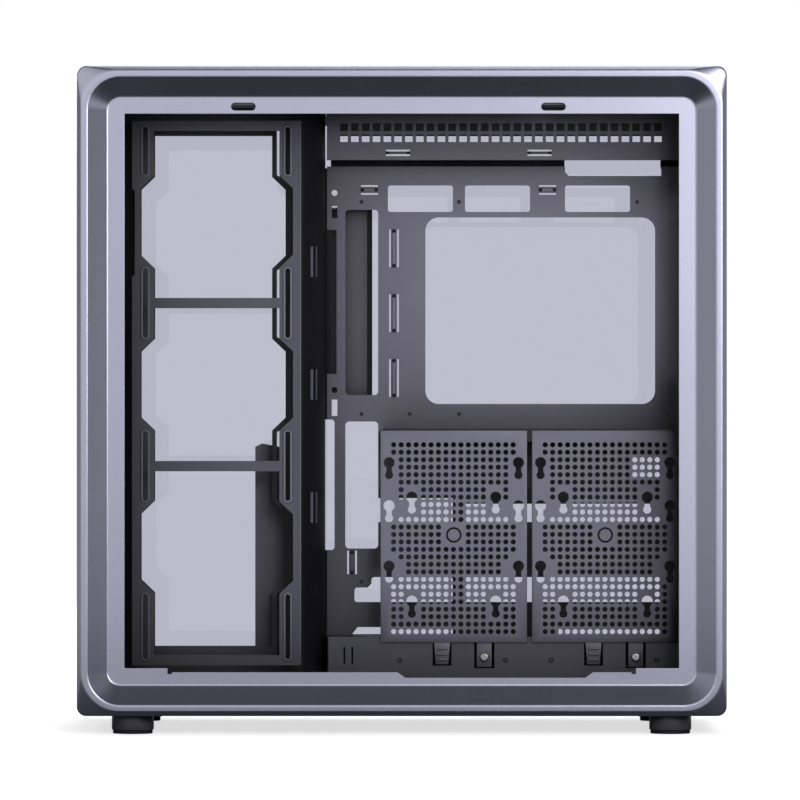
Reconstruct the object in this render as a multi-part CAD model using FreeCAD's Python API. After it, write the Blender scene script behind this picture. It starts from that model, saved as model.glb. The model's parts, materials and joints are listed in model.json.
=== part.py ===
import FreeCAD, Part
import math
import os
from FreeCAD import Vector

# All lengths are in millimetres. X runs from the front to the rear, Y from the
# open cable side to the window side, Z up from the floor.

# Body
BODY_LENGTH = 474.0
BODY_HEIGHT = 474.0
CASE_WIDTH = 290.0
FOOT_HEIGHT = 14.0

# End frames: a raised rim, a sloped band and a flat flange round the opening
FRAME_DEPTH = 27.0
CORNER_RADIUS = 6.0
RIM_RADIUS = 28.0
RIM_INSET = 4.6
RIM_WIDTH = 3.3
BAND_WIDTH = 14.2
RECESS_DEPTH = 12.0
FLANGE_RADIUS = 10.0
FLANGE_WIDTH = 12.6
FLANGE_SHEET = 1.6
FRAME_WALL = 2.4
LIP_LENGTH = 342.0
LIP_DROP = 3.0
LIP_RELIEF = 3.2
LIP_RELIEF_DROP = 1.3
DEEP_LIP_START = 168.0
DEEP_LIP_LENGTH = 131.5
DEEP_LIP_DROP = 4.0
DEEP_LIP_RAMP = 5.6
HOOK_SLOT_LENGTH = 18.0
HOOK_SLOT_HEIGHT = 5.8
HOOK_SLOT_RISE = 5.3
HOOK_SLOT_SPAN = 226.4
HOOK_SLOT_SHIFT = -2.4

# Outer wrap and glass
WRAP_SHEET = 2.0
WRAP_LIP = 14.0
FRONT_SPLIT = 40.0
GLASS_SHEET = 4.0
GLASS_MARGIN = 1.0
GLASS_GAP = 0.2
TONGUE_LENGTH = 14.0
TONGUE_SHEET = 3.0
TONGUE_REACH = 8.0
VENT_COUNT = 30
VENT_PITCH = 12.0
VENT_WIDTH = 5.0
VENT_LENGTH = 104.0
VENT_SHIFT = 42.0
FILTER_SHEET = 1.0
FILTER_MARGIN = 8.0

# Steel chassis
STEEL = 1.2
END_RECESS = 28.0
TOP_RECESS = 28.0
BASE_RECESS = 26.0
TRAY_DEPTH = 105.0
PLATE_DEPTH = 59.0
RAIL_DEPTH = 83.0
TOP_LIP_DROP = 20.0
FAN_SIZE = 120.0
FAN_BORE = 57.0
CHASSIS_FAN_SHIFT = 44.0

# Motherboard tray, set out from the rear top stand-off
BOARD_SETBACK = 11.1
BOARD_DROP = 68.7
BOARD_COLUMN_NEAR = 22.86
BOARD_COLUMN_MID = 154.94
BOARD_COLUMN_FAR = 227.33
BOARD_ROW_MID = 157.48
BOARD_ROW_LOW = 281.94
SPARE_HOLE_BACK = 191.6
STANDOFF_HEIGHT = 6.5
STANDOFF_FLATS = 5.0
STANDOFF_BORE = 1.5
STANDOFF_FLOOR = 0.8
TRAY_LENGTH = 264.0
TRAY_TOP = 42.5
TRAY_LIP_STAND = 14.0
TRAY_LIP_RISE = 6.5
CPU_CUT_BACK = 9.5
CPU_CUT_LENGTH = 170.4
CPU_CUT_TOP = 11.6
CPU_CUT_HEIGHT = 138.4
CPU_CUT_RADIUS = 10.0
PORT_LENGTH = 48.2
PORT_HEIGHT = 19.6
PORT_RISE = 2.3
PORT_RADIUS = 2.0
PORT_BACK_A = 76.3
PORT_BACK_B = 150.5
PORT_BACK_C = 207.7
CORNER_CUT_BACK = 5.0
CORNER_CUT_LENGTH = 71.3
CORNER_CUT_RISE = 19.2
CORNER_CUT_CHAMFER = 2.8
CABLE_SLOT_BACK = 239.3
CABLE_SLOT_WIDTH = 24.4
CABLE_SLOT_RADIUS = 2.6
CABLE_SLOT_TOP = 6.0
CABLE_SLOT_HEIGHT = 137.3
LOW_SLOT_TOP = 163.0
LOW_SLOT_HEIGHT = 94.2
LOW_SLOT_RADIUS = 3.0
EDGE_NOTCH_WIDTH = 7.1
EDGE_NOTCH_TOP = 20.9
EDGE_NOTCH_HEIGHT = 106.8
LOW_NOTCH_WIDTH = 5.6
LOW_NOTCH_TOP = 161.5
LOW_NOTCH_HEIGHT = 96.8
LOW_NOTCH_CHAMFER = 1.6
EDGE_HOLE_IN = 5.6
EDGE_HOLE_RADIUS = 2.2
EDGE_HOLE_RISE = 6.6
EDGE_HOLE_DROP = 139.6
EDGE_SLOT_WIDTH = 4.2
EDGE_SLOT_TOP = 3.1
EDGE_SLOT_HEIGHT = 9.0
LOW_EDGE_SLOT_TOP = 146.7
LOW_EDGE_SLOT_HEIGHT = 12.2
WINDOW_REAR_BACK = 5.2
WINDOW_WEB = 9.4
UPPER_BAND_TOP = 219.8
UPPER_BAND_HEIGHT = 17.8
UPPER_BAND_STEP = 4.2
LOWER_BAND_TOP = 278.4
LOWER_BAND_HEIGHT = 18.5
LOWER_BAND_FRONT = 219.9
STEP_LENGTH = 12.6
STEP_DROP = 7.8
STEP_RADIUS = 2.2
STEP_CHAMFER = 3.0
BASE_BAND_HEIGHT = 5.2
BASE_BAND_LENGTH = 76.0
FRONT_BAND_LENGTH = 74.5
FRONT_BAND_SLANT = 3.9
SIDE_WINDOW_LENGTH = 21.2
SIDE_WINDOW_TOP = 189.3
SIDE_WINDOW_HEIGHT = 14.9
TIE_SLOT = 1.3
TIE_GAP = 4.6
TIE_LENGTH = 12.6
TIE_RISE = 8.8
TIE_BACK_A = 221.4
TIE_BACK_B = 89.3
LONG_TIE_LENGTH = 28.0
LONG_TIE_BACK = 203.2
LONG_TIE_TOP = 34.5
LONG_TIE_PITCH = 48.1
LONG_TIE_COUNT = 3
LOW_TIE_LENGTH = 17.4
LOW_TIE_BACK = 234.3
LOW_TIE_DROP = 267.5

# Vented rail over the tray
RAIL_HEIGHT = 38.3
RAIL_FOLD = 8.0
RAIL_VENT = 5.6
RAIL_VENT_PITCH = 8.0
RAIL_VENT_COUNT = 30
RAIL_VENT_START = 12.7
RAIL_VENT_DROP = 14.0
RAIL_ROW_PITCH = 8.2
RAIL_TIE_LENGTH = 17.7
RAIL_TIE_DROP = 33.0
RAIL_TIE_GAP = 2.1
RAIL_TIE_A = 52.6
RAIL_TIE_B = 157.2

# Side fan bracket and the wall behind it
BRACKET_GAP_FRONT = 9.5
BRACKET_GAP_REAR = 18.9
BRACKET_TOP_GAP = 10.0
BRACKET_LOW_GAP = 9.0
BRACKET_MARGIN = 5.9
BRACKET_RISE = 4.7
BRACKET_TAB = 10.0
BRACKET_TAB_RAMP = 9.6
BRACKET_DIVIDER = 7.6
BRACKET_TAB_HALF = 26.0
BRACKET_END = 7.6
BRACKET_SLOT = 3.4
BRACKET_SLOT_IN = 9.7
BRACKET_SLOT_LENGTH = 51.0
BRACKET_SLOT_END = 4.6
BRACKET_NOTCH = 2.0
BRACKET_NOTCH_HEIGHT = 63.0
BRACKET_NOTCH_DROP = 51.0
WALL_STEP = 5.9
WALL_TOP_BAR = 20.0
WALL_LOW_BAR = 22.0
WALL_SLOT_IN = 5.3
COLUMN_LEDGE = 6.4
COLUMN_LAP = 2.8
COLUMN_TIE_LENGTH = 22.7
COLUMN_TIE_PITCH = 90.6

# Drive plates, their shelf and hanger
PLATE_LENGTH = 107.9
PLATE_HEIGHT = 156.1
PLATE_PITCH = 111.5
PLATE_BACK = 5.0
PLATE_RISE = 25.8
PLATE_RETURN = 6.0
PLATE_RETURN_END = 10.0
GRID_PITCH = 11.0
GRID_HOLE = 6.4
GRID_COLUMNS = 9
GRID_ROWS = 13
GRID_TOP = 13.3
GRID_CLEAR = 1.3
DRIVE_SPAN_WIDE = 95.25
DRIVE_ROW_TOP = 23.6
DRIVE_ROW_STEP = 31.75
DRIVE_ROW_LAST = 76.2
SSD_SPAN = 61.72
SSD_ROW_TOP = 49.0
SSD_ROW_STEP = 76.6
KEY_RADIUS = 4.1
KEY_NECK = 2.4
KEY_DROP = 9.2
PIN_DROP = 76.9
PIN_BORE = 5.8
PIN_DISC = 4.6
PIN_FLANGE = 7.2
CLIP_START = 39.4
CLIP_LENGTH = 11.8
CLIP_TAPER = 1.2
CLIP_DROP = 16.0
CLIP_CLEAR = 1.0
SCREW_TAB_START = 70.9
SCREW_TAB_LENGTH = 11.0
SCREW_TAB_DROP = 18.0
SCREW_TAB_LAP = 4.0
SCREW_TAB_CLEAR = 1.9
SCREW_RISE = 7.2
SCREW_BORE = 1.7
SCREW_SHANK = 1.5
SCREW_HEAD = 3.1
SCREW_HEAD_HEIGHT = 1.8
SCREW_REACH = 6.0
SHELF_HEIGHT = 30.0
SHELF_HOLE = 1.7
SHELF_HOLE_RISE = 12.6
SHELF_HOLE_A = 14.0
SHELF_HOLE_B = 92.0
SHELF_TIE_IN = 14.7
SHELF_TIE_LENGTH = 12.5
HANGER_LIP = 8.5

# Cable cover and card support in the main chamber
COVER_LENGTH = 27.0
COVER_STAND = 14.0
COVER_IN = 3.0
COVER_TOP_DROP = 4.2
COVER_HEIGHT = 140.6
TRIM_LENGTH = 3.6
TRIM_SHEET = 2.4
SUPPORT_LENGTH = 51.0
SUPPORT_HEIGHT = 172.0
SUPPORT_STAND = 12.0
SUPPORT_FOOT = 18.0
SUPPORT_SLOPE = 5.0

# Rear panel
IO_WIDTH = 44.45
IO_HEIGHT = 158.75
IO_SET = 4.0
IO_RISE = 4.2
SLOT_COUNT = 7
SLOT_PITCH = 20.32
SLOT_FIRST = 13.8
SLOT_WINDOW = 12.5
SLOT_LENGTH = 106.0
SLOT_SET = 10.0
SLOT_COVER_WIDTH = 18.4
SLOT_COVER_SHEET = 1.0
SLOT_COVER_LAP = 5.0
SLOT_COVER_END = 13.0
SLOT_SCREW_IN = 5.5
REAR_FAN_CLEAR = 8.975
REAR_FAN_DROP = 61.3
REAR_FAN_HOLE = 2.15
REAR_VENT_PITCH = 11.0
REAR_VENT_HEIGHT = 6.0
PSU_WIDTH = 78.0
PSU_HEIGHT = 138.0
PSU_SET = 5.4
PSU_RISE = 222.0
PSU_FRAME = 4.0
PSU_FRAME_END = 12.0
PSU_SCREW_IN = 6.0
CABLE_VENTS = 8
CABLE_VENT_PITCH = 16.0
CABLE_VENT_RISE = 60.0

# Front ports and buttons, let into the top panel
IO_BOX_LENGTH = 118.0
IO_BOX_WIDTH = 22.0
IO_BOX_FRONT = 21.0
IO_BOX_SIDE = 36.0
IO_WELL = 13.0
IO_SINK = 0.4
IO_CLEAR = 0.15
POWER_AT = 12.0
POWER_RADIUS = 6.6
RESET_AT = 30.0
RESET_RADIUS = 3.0
BUTTON_HEIGHT = 7.0
BUTTON_ROOM = 2.6
BUTTON_CLEAR = 0.3
JACK_AT = 46.0
JACK_RADIUS = 3.4
JACK_BORE = 1.8
USB_C_AT = 62.0
USB_C_LENGTH = 9.0
USB_C_WIDTH = 3.4
USB_A_AT = 82.0
USB_A_PITCH = 20.0
USB_A_LENGTH = 13.1
USB_A_WIDTH = 5.7
USB_WALL = 0.4
USB_FLOOR = 2.0
USB_TONGUE = 1.9

# Feet
FOOT_RADIUS = 15.4
FOOT_IN_X = 40.0
FOOT_IN_Y = 37.0
FOOT_EDGE = 0.8
PAD_HEIGHT = 2.6
PAD_RADIUS = 14.6
PAD_EDGE = 1.2

# Places worked out from the sizes above
half_length = BODY_LENGTH / 2
half_width = CASE_WIDTH / 2
z_low = FOOT_HEIGHT
z_high = FOOT_HEIGHT + BODY_HEIGHT
chassis_half = half_width - RECESS_DEPTH - FLANGE_SHEET
wrap_half = half_width - FRAME_DEPTH
flange_inset = RIM_INSET + RIM_WIDTH + BAND_WIDTH
opening_inset = flange_inset + FLANGE_WIDTH
rear_in = half_length - END_RECESS
front_in = END_RECESS + STEEL - half_length
top_under = z_high - TOP_RECESS
base_top = z_low + BASE_RECESS
tray_back = TRAY_DEPTH - half_width
tray_face = tray_back - STEEL
plate_face = PLATE_DEPTH - half_width
plate_back = plate_face + STEEL
rail_face = RAIL_DEPTH - half_width
board_x = rear_in - BOARD_SETBACK
board_z = top_under - BOARD_DROP
tray_left = rear_in - TRAY_LENGTH
bracket_left = front_in + BRACKET_GAP_FRONT
bracket_right = tray_left - BRACKET_GAP_REAR
bracket_low = base_top + BRACKET_LOW_GAP
bracket_high = top_under - BRACKET_TOP_GAP
fan_x = (bracket_left + bracket_right) / 2
fan_z = (z_low + z_high) / 2 + BRACKET_RISE
plates_end = rear_in - PLATE_BACK
plate_left = plates_end - PLATE_LENGTH - PLATE_PITCH
plate_low = base_top + PLATE_RISE
plate_high = plate_low + PLATE_HEIGHT
shelf_top = base_top + SHELF_HEIGHT
rear_out = rear_in + STEEL

ALONG_X = Vector(1, 0, 0)
ALONG_Y = Vector(0, 1, 0)
ALONG_Z = Vector(0, 0, 1)


def at_x(x):
    return lambda u, v: Vector(x, u, v)


def at_y(y):
    return lambda u, v: Vector(u, y, v)


def at_z(z):
    return lambda u, v: Vector(u, v, z)


def box(x0, x1, y0, y1, z0, z1):
    return Part.makeBox(x1 - x0, y1 - y0, z1 - z0, Vector(x0, y0, z0))


def polygon(at, points):
    corners = [at(u, v) for u, v in points]
    return Part.makePolygon(corners + corners[:1])


def rect(at, u0, u1, v0, v1, radius=0.0):
    """A closed rectangle with rounded corners; a large radius makes an obround."""
    if radius <= 0:
        return polygon(at, [(u0, v0), (u1, v0), (u1, v1), (u0, v1)])
    radius = min(radius, (u1 - u0) / 2, (v1 - v0) / 2)
    bend = radius * (1 - math.sqrt(0.5))
    stops = [
        ((u0 + radius, v0), (u1 - radius, v0), (u1 - bend, v0 + bend)),
        ((u1, v0 + radius), (u1, v1 - radius), (u1 - bend, v1 - bend)),
        ((u1 - radius, v1), (u0 + radius, v1), (u0 + bend, v1 - bend)),
        ((u0, v1 - radius), (u0, v0 + radius), (u0 + bend, v0 + bend)),
    ]
    edges = []
    for number, (start, end, turn) in enumerate(stops):
        after = stops[(number + 1) % len(stops)][0]
        if at(*start).distanceToPoint(at(*end)) > 1e-6:
            edges.append(Part.makeLine(at(*start), at(*end)))
        edges.append(Part.Arc(at(*end), at(*turn), at(*after)).toShape())
    return Part.Wire(edges)


def circle(at, axis, u, v, radius):
    return Part.Wire(Part.makeCircle(radius, at(u, v), axis))


def sheet(outline, holes, axis, thickness):
    """A flat sheet: one outline with its holes, extruded along the axis."""
    face = Part.makeFace([outline] + list(holes), "Part::FaceMakerBullseye")
    return face.extrude(axis * thickness)


def tie_pair(at, u, v, length, upright=False, gap=TIE_GAP):
    """Two thin slots with a strap between them, for a cable tie."""
    half = length / 2
    near = gap / 2
    far = near + TIE_SLOT
    if upright:
        first = rect(at, u - far, u - near, v - half, v + half)
        second = rect(at, u + near, u + far, v - half, v + half)
    else:
        first = rect(at, u - half, u + half, v - far, v - near)
        second = rect(at, u - half, u + half, v + near, v + far)
    return [first, second]


def frame_outline(y, inset, radius):
    edge = half_length - inset
    return rect(at_y(y), -edge, edge, z_low + inset, z_high - inset, radius)


def end_frame():
    """The end frame on the open side; its mirror closes the window side."""
    back = -wrap_half
    rim = -half_width
    floor = rim + RECESS_DEPTH
    rim_in = RIM_INSET + RIM_WIDTH
    shell = Part.makeLoft(
        [frame_outline(back, 0.0, CORNER_RADIUS), frame_outline(rim, RIM_INSET, RIM_RADIUS)], True, True)
    recess = Part.makeLoft(
        [frame_outline(rim, rim_in, RIM_RADIUS - RIM_WIDTH),
         frame_outline(floor, flange_inset, FLANGE_RADIUS)], True, True)
    hollow_end = rim + RIM_WIDTH
    hollow = Part.makeLoft(
        [frame_outline(back, FRAME_WALL, CORNER_RADIUS - FRAME_WALL),
         frame_outline(hollow_end, RIM_INSET + FRAME_WALL, RIM_RADIUS - FRAME_WALL)], True, True)
    band = Part.makeLoft(
        [frame_outline(rim, rim_in - FRAME_WALL, RIM_RADIUS - RIM_WIDTH + FRAME_WALL),
         frame_outline(floor, flange_inset - FRAME_WALL, FLANGE_RADIUS + FRAME_WALL)], True, True)
    seat = Part.Face(frame_outline(floor, flange_inset - FRAME_WALL, FLANGE_RADIUS + FRAME_WALL))
    seat = seat.extrude(ALONG_Y * FLANGE_SHEET)
    cavity = hollow.cut(band).cut(seat)
    frame = shell.cut(recess).cut(cavity)
    edge = half_length - opening_inset
    sill = z_low + opening_inset
    cuts = [box(-edge, edge, rim, back, sill, z_high - opening_inset)]
    lip = LIP_LENGTH / 2
    cuts.append(box(-lip, lip, rim, back, sill - LIP_DROP, sill))
    for side in (-1, 1):
        inner = side * (lip - LIP_RELIEF)
        ends = sorted([side * lip, inner])
        cuts.append(box(ends[0], ends[1], rim, back, sill - LIP_DROP - LIP_RELIEF_DROP, sill))
    ramp_top = DEEP_LIP_START - lip
    ramp_end = ramp_top + DEEP_LIP_LENGTH + 2 * DEEP_LIP_RAMP
    low = sill - LIP_DROP - DEEP_LIP_DROP
    deep = polygon(at_y(rim), [
        (ramp_top, sill), (ramp_top, sill - LIP_DROP), (ramp_top + DEEP_LIP_RAMP, low),
        (ramp_end - DEEP_LIP_RAMP, low), (ramp_end, sill - LIP_DROP), (ramp_end, sill)])
    cuts.append(Part.Face(deep).extrude(ALONG_Y * FRAME_DEPTH))
    slot_z = z_high - opening_inset + HOOK_SLOT_RISE
    for side in (-1, 1):
        middle = HOOK_SLOT_SHIFT + side * HOOK_SLOT_SPAN / 2
        slot = rect(at_y(rim), middle - HOOK_SLOT_LENGTH / 2, middle + HOOK_SLOT_LENGTH / 2,
                    slot_z - HOOK_SLOT_HEIGHT / 2, slot_z + HOOK_SLOT_HEIGHT / 2, HOOK_SLOT_HEIGHT / 2)
        cuts.append(Part.Face(slot).extrude(ALONG_Y * FRAME_DEPTH))
    return frame.cut(cuts)


def side_glass():
    edge = half_length - flange_inset - GLASS_MARGIN
    low = z_low + flange_inset + GLASS_MARGIN
    high = z_high - flange_inset - GLASS_MARGIN
    start = half_width - RECESS_DEPTH + GLASS_GAP
    outline = rect(at_y(start), -edge, edge, low, high, FLANGE_RADIUS - GLASS_MARGIN)
    return sheet(outline, [], ALONG_Y, GLASS_SHEET)


def glass_hooks():
    start = half_width - RECESS_DEPTH + GLASS_GAP
    high = top_under - TONGUE_SHEET / 5
    tongues = []
    for side in (-1, 1):
        middle = HOOK_SLOT_SHIFT + side * HOOK_SLOT_SPAN / 2
        half = TONGUE_LENGTH / 2
        tongues.append(box(middle - half, middle + half, start - TONGUE_REACH, start,
                           high - TONGUE_SHEET, high))
    return Part.makeCompound(tongues)


def wrap_tube():
    outer = frame_outline(-wrap_half, 0.0, CORNER_RADIUS)
    inner = frame_outline(-wrap_half, WRAP_SHEET, CORNER_RADIUS - WRAP_SHEET)
    return sheet(outer, [inner], ALONG_Y, 2 * wrap_half)


def vent_cuts(z0, z1):
    first = -(VENT_COUNT - 1) * VENT_PITCH / 2
    cuts = []
    for number in range(VENT_COUNT):
        middle = first + number * VENT_PITCH
        cuts.append(box(middle - VENT_WIDTH / 2, middle + VENT_WIDTH / 2,
                        VENT_SHIFT - VENT_LENGTH / 2, VENT_SHIFT + VENT_LENGTH / 2, z0, z1))
    return cuts


io_x0 = IO_BOX_FRONT - half_length
io_y0 = IO_BOX_SIDE - half_width
io_y = io_y0 + IO_BOX_WIDTH / 2
panel_under = z_high - WRAP_SHEET


def io_holes(clear_button, clear_port, z):
    """Outlines of the buttons and ports at a height, grown by their clearances."""
    at = at_z(z)
    holes = [
        circle(at, ALONG_Z, io_x0 + POWER_AT, io_y, POWER_RADIUS + clear_button),
        circle(at, ALONG_Z, io_x0 + RESET_AT, io_y, RESET_RADIUS + clear_button),
        circle(at, ALONG_Z, io_x0 + JACK_AT, io_y, JACK_RADIUS + clear_port),
    ]
    middle = io_x0 + USB_C_AT
    long_half = USB_C_LENGTH / 2 + clear_port
    wide_half = USB_C_WIDTH / 2 + clear_port
    holes.append(rect(at, middle - long_half, middle + long_half,
                      io_y - wide_half, io_y + wide_half, wide_half))
    for number in range(2):
        middle = io_x0 + USB_A_AT + number * USB_A_PITCH
        long_half = USB_A_LENGTH / 2 + clear_port
        wide_half = USB_A_WIDTH / 2 + clear_port
        holes.append(rect(at, middle - long_half, middle + long_half, io_y - wide_half, io_y + wide_half))
    return holes


def top_panel():
    part = box(-half_length, half_length, -wrap_half, wrap_half, z_high - WRAP_LIP, z_high)
    panel = wrap_tube().common(part)
    cuts = vent_cuts(panel_under, z_high)
    for hole in io_holes(BUTTON_CLEAR, IO_CLEAR, panel_under):
        cuts.append(Part.Face(hole).extrude(ALONG_Z * WRAP_SHEET))
    return panel.cut(cuts)


def bottom_panel():
    part = box(-half_length, half_length, -wrap_half, wrap_half, z_low, z_low + WRAP_LIP)
    return wrap_tube().common(part).cut(vent_cuts(z_low, z_low + WRAP_SHEET))


def filter_sheet(z):
    long_half = VENT_COUNT * VENT_PITCH / 2 + FILTER_MARGIN
    wide_half = VENT_LENGTH / 2 + FILTER_MARGIN
    return box(-long_half, long_half, VENT_SHIFT - wide_half, VENT_SHIFT + wide_half, z, z + FILTER_SHEET)


def front_piece(y0, y1, thickness):
    return box(-half_length, thickness - half_length, y0, y1, z_low + WRAP_LIP, z_high - WRAP_LIP)


def chassis_fans(z):
    """A row of fan holes, as many as the chassis has room for, centred on its length."""
    middle = (front_in + rear_in) / 2
    count = int((rear_in - front_in) / FAN_SIZE)
    holes = []
    for number in range(count):
        x = middle + (number - (count - 1) / 2) * FAN_SIZE
        holes.append(circle(at_z(z), ALONG_Z, x, CHASSIS_FAN_SHIFT, FAN_BORE))
    return holes


def chassis_top():
    outline = rect(at_z(top_under), front_in - STEEL, rear_in, -chassis_half, chassis_half)
    plate = sheet(outline, chassis_fans(top_under), ALONG_Z, STEEL)
    lip = box(tray_left, rear_in, tray_face, tray_back, top_under - TOP_LIP_DROP, top_under)
    return plate.fuse(lip).removeSplitter()


def chassis_base():
    low = base_top - STEEL
    outline = rect(at_z(low), front_in - STEEL, rear_in, -chassis_half, chassis_half)
    return sheet(outline, chassis_fans(low), ALONG_Z, STEEL)


def front_wall():
    """Inner front wall of the cable chamber."""
    return box(front_in - STEEL, front_in, -chassis_half, tray_face, base_top, top_under)


io_z0 = board_z + IO_RISE - IO_HEIGHT
io_wall = tray_back + IO_SET
slot_y0 = tray_back + SLOT_SET
psu_y0 = PSU_SET - chassis_half
psu_z0 = base_top + PSU_RISE
rear_room = chassis_half - io_wall - IO_WIDTH
rear_fan_y = chassis_half - rear_room / 2
rear_fan_span = rear_room - 2 * REAR_FAN_CLEAR
rear_fan_z = board_z - REAR_FAN_DROP


def slot_centre(number):
    return io_z0 - SLOT_FIRST - number * SLOT_PITCH


def psu_screw_places():
    mid = psu_y0 + PSU_WIDTH / 2
    span = PSU_WIDTH / 2 - PSU_SCREW_IN
    low = psu_z0 - PSU_SCREW_IN
    high = psu_z0 + PSU_HEIGHT + PSU_SCREW_IN
    return [(mid - span, low), (mid + span, low), (mid - span, high), (mid + span, high)]


def slot_screw_place(number):
    return slot_y0 + SLOT_LENGTH + SLOT_COVER_END - SLOT_SCREW_IN, slot_centre(number)


def rear_panel():
    at = at_x(rear_in)
    holes = [rect(at, io_wall, io_wall + IO_WIDTH, io_z0, io_z0 + IO_HEIGHT)]
    holes.append(rect(at, psu_y0, psu_y0 + PSU_WIDTH, psu_z0, psu_z0 + PSU_HEIGHT))
    for y, z in psu_screw_places():
        holes.append(circle(at, ALONG_X, y, z, SCREW_BORE))
    for number in range(SLOT_COUNT):
        middle = slot_centre(number)
        holes.append(rect(at, slot_y0, slot_y0 + SLOT_LENGTH,
                          middle - SLOT_WINDOW / 2, middle + SLOT_WINDOW / 2))
        y, z = slot_screw_place(number)
        holes.append(circle(at, ALONG_X, y, z, SCREW_BORE))
    reach = rear_fan_span / 2
    steps = int((reach - REAR_VENT_HEIGHT) / REAR_VENT_PITCH)
    for number in range(-steps, steps + 1):
        rise = number * REAR_VENT_PITCH
        half = math.sqrt(reach ** 2 - rise ** 2)
        holes.append(rect(at, rear_fan_y - half, rear_fan_y + half,
                          rear_fan_z + rise - REAR_VENT_HEIGHT / 2, rear_fan_z + rise + REAR_VENT_HEIGHT / 2))
    for side in (-1, 1):
        for rise in (-1, 1):
            holes.append(circle(at, ALONG_X, rear_fan_y + side * reach,
                                rear_fan_z + rise * reach, REAR_FAN_HOLE))
    for number in range(CABLE_VENTS):
        low = base_top + CABLE_VENT_RISE + number * CABLE_VENT_PITCH
        holes.append(rect(at, psu_y0, psu_y0 + PSU_WIDTH, low, low + REAR_VENT_HEIGHT))
    low = base_top - STEEL
    high = top_under + STEEL
    wide = chassis_half
    neck = wrap_half - STEEL
    floor = z_low + WRAP_SHEET
    outline = polygon(at, [
        (-neck, floor), (neck, floor), (neck, low), (wide, low), (wide, high), (neck, high),
        (neck, panel_under), (-neck, panel_under), (-neck, high), (-wide, high), (-wide, low), (-neck, low)])
    return sheet(outline, holes, ALONG_X, STEEL)


def slot_cover(number):
    at = at_x(rear_out)
    middle = slot_centre(number)
    y, z = slot_screw_place(number)
    outline = rect(at, slot_y0 - SLOT_COVER_LAP, slot_y0 + SLOT_LENGTH + SLOT_COVER_END,
                   middle - SLOT_COVER_WIDTH / 2, middle + SLOT_COVER_WIDTH / 2)
    return sheet(outline, [circle(at, ALONG_X, y, z, SCREW_BORE)], ALONG_X, SLOT_COVER_SHEET)


def screw(place, axis):
    """A pan-head screw: the head lies on the face at the place, the shank runs against the axis."""
    head = Part.makeCylinder(SCREW_HEAD, SCREW_HEAD_HEIGHT, place, axis)
    shank = Part.makeCylinder(SCREW_SHANK, SCREW_REACH, place, axis * -1)
    return head.fuse(shank).removeSplitter()


def slot_cover_screws():
    face = rear_out + SLOT_COVER_SHEET
    return Part.makeCompound(
        [screw(Vector(face, *slot_screw_place(number)), ALONG_X) for number in range(SLOT_COUNT)])


def psu_bracket():
    at = at_x(rear_out)
    outline = rect(at, psu_y0 - PSU_FRAME, psu_y0 + PSU_WIDTH + PSU_FRAME,
                   psu_z0 - PSU_FRAME_END, psu_z0 + PSU_HEIGHT + PSU_FRAME_END, PSU_FRAME)
    holes = [rect(at, psu_y0, psu_y0 + PSU_WIDTH, psu_z0, psu_z0 + PSU_HEIGHT)]
    for y, z in psu_screw_places():
        holes.append(circle(at, ALONG_X, y, z, SCREW_BORE))
    return sheet(outline, holes, ALONG_X, STEEL)


def psu_bracket_screws():
    face = rear_out + STEEL
    return Part.makeCompound([screw(Vector(face, y, z), ALONG_X) for y, z in psu_screw_places()])


def standoff_places():
    rear = board_x
    near = board_x - BOARD_COLUMN_NEAR
    middle = board_x - BOARD_COLUMN_MID
    far = board_x - BOARD_COLUMN_FAR
    rows = [(near, board_z), (middle, board_z), (far, board_z)]
    for drop in (BOARD_ROW_MID, BOARD_ROW_LOW):
        rows += [(x, board_z - drop) for x in (rear, middle, far)]
    rows.append((board_x - SPARE_HOLE_BACK, board_z - BOARD_ROW_MID))
    return rows


def tray_windows():
    """Cut-outs of the tray as (front edge, rear edge, low edge, high edge, corner radius)."""
    x = board_x
    z = board_z
    rear = x - WINDOW_REAR_BACK
    web_rear = x - BOARD_COLUMN_MID + WINDOW_WEB / 2
    slot_front = x - CABLE_SLOT_BACK
    slot_rear = slot_front + CABLE_SLOT_WIDTH
    windows = []
    end = x - CPU_CUT_BACK
    high = z - CPU_CUT_TOP
    windows.append((end - CPU_CUT_LENGTH, end, high - CPU_CUT_HEIGHT, high, CPU_CUT_RADIUS))
    low = z + PORT_RISE - PORT_HEIGHT / 2
    for back in (PORT_BACK_A, PORT_BACK_B, PORT_BACK_C):
        windows.append((x - back, x - back + PORT_LENGTH, low, low + PORT_HEIGHT, PORT_RADIUS))
    high = z - CABLE_SLOT_TOP
    windows.append((slot_front, slot_rear, high - CABLE_SLOT_HEIGHT, high, CABLE_SLOT_RADIUS))
    high = z - UPPER_BAND_TOP - UPPER_BAND_STEP
    low = z - UPPER_BAND_TOP - UPPER_BAND_HEIGHT
    windows.append((web_rear, rear, low, high, 0.0))
    high = z - LOWER_BAND_TOP
    windows.append((web_rear, rear, high - LOWER_BAND_HEIGHT, high, 0.0))
    low = shelf_top + STEEL / 2
    windows.append((rear - SIDE_WINDOW_LENGTH, rear, z - SIDE_WINDOW_TOP - SIDE_WINDOW_HEIGHT,
                    z - SIDE_WINDOW_TOP, 0.0))
    windows.append((rear - BASE_BAND_LENGTH, rear, low, low + BASE_BAND_HEIGHT, 0.0))
    return windows


def joined_window(at, outlines):
    """One cut-out made of several overlapping outlines, as deep as the tray."""
    faces = [Part.Face(outline) for outline in outlines]
    return faces[0].fuse(faces[1:]).removeSplitter().extrude(ALONG_Y * STEEL)


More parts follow.
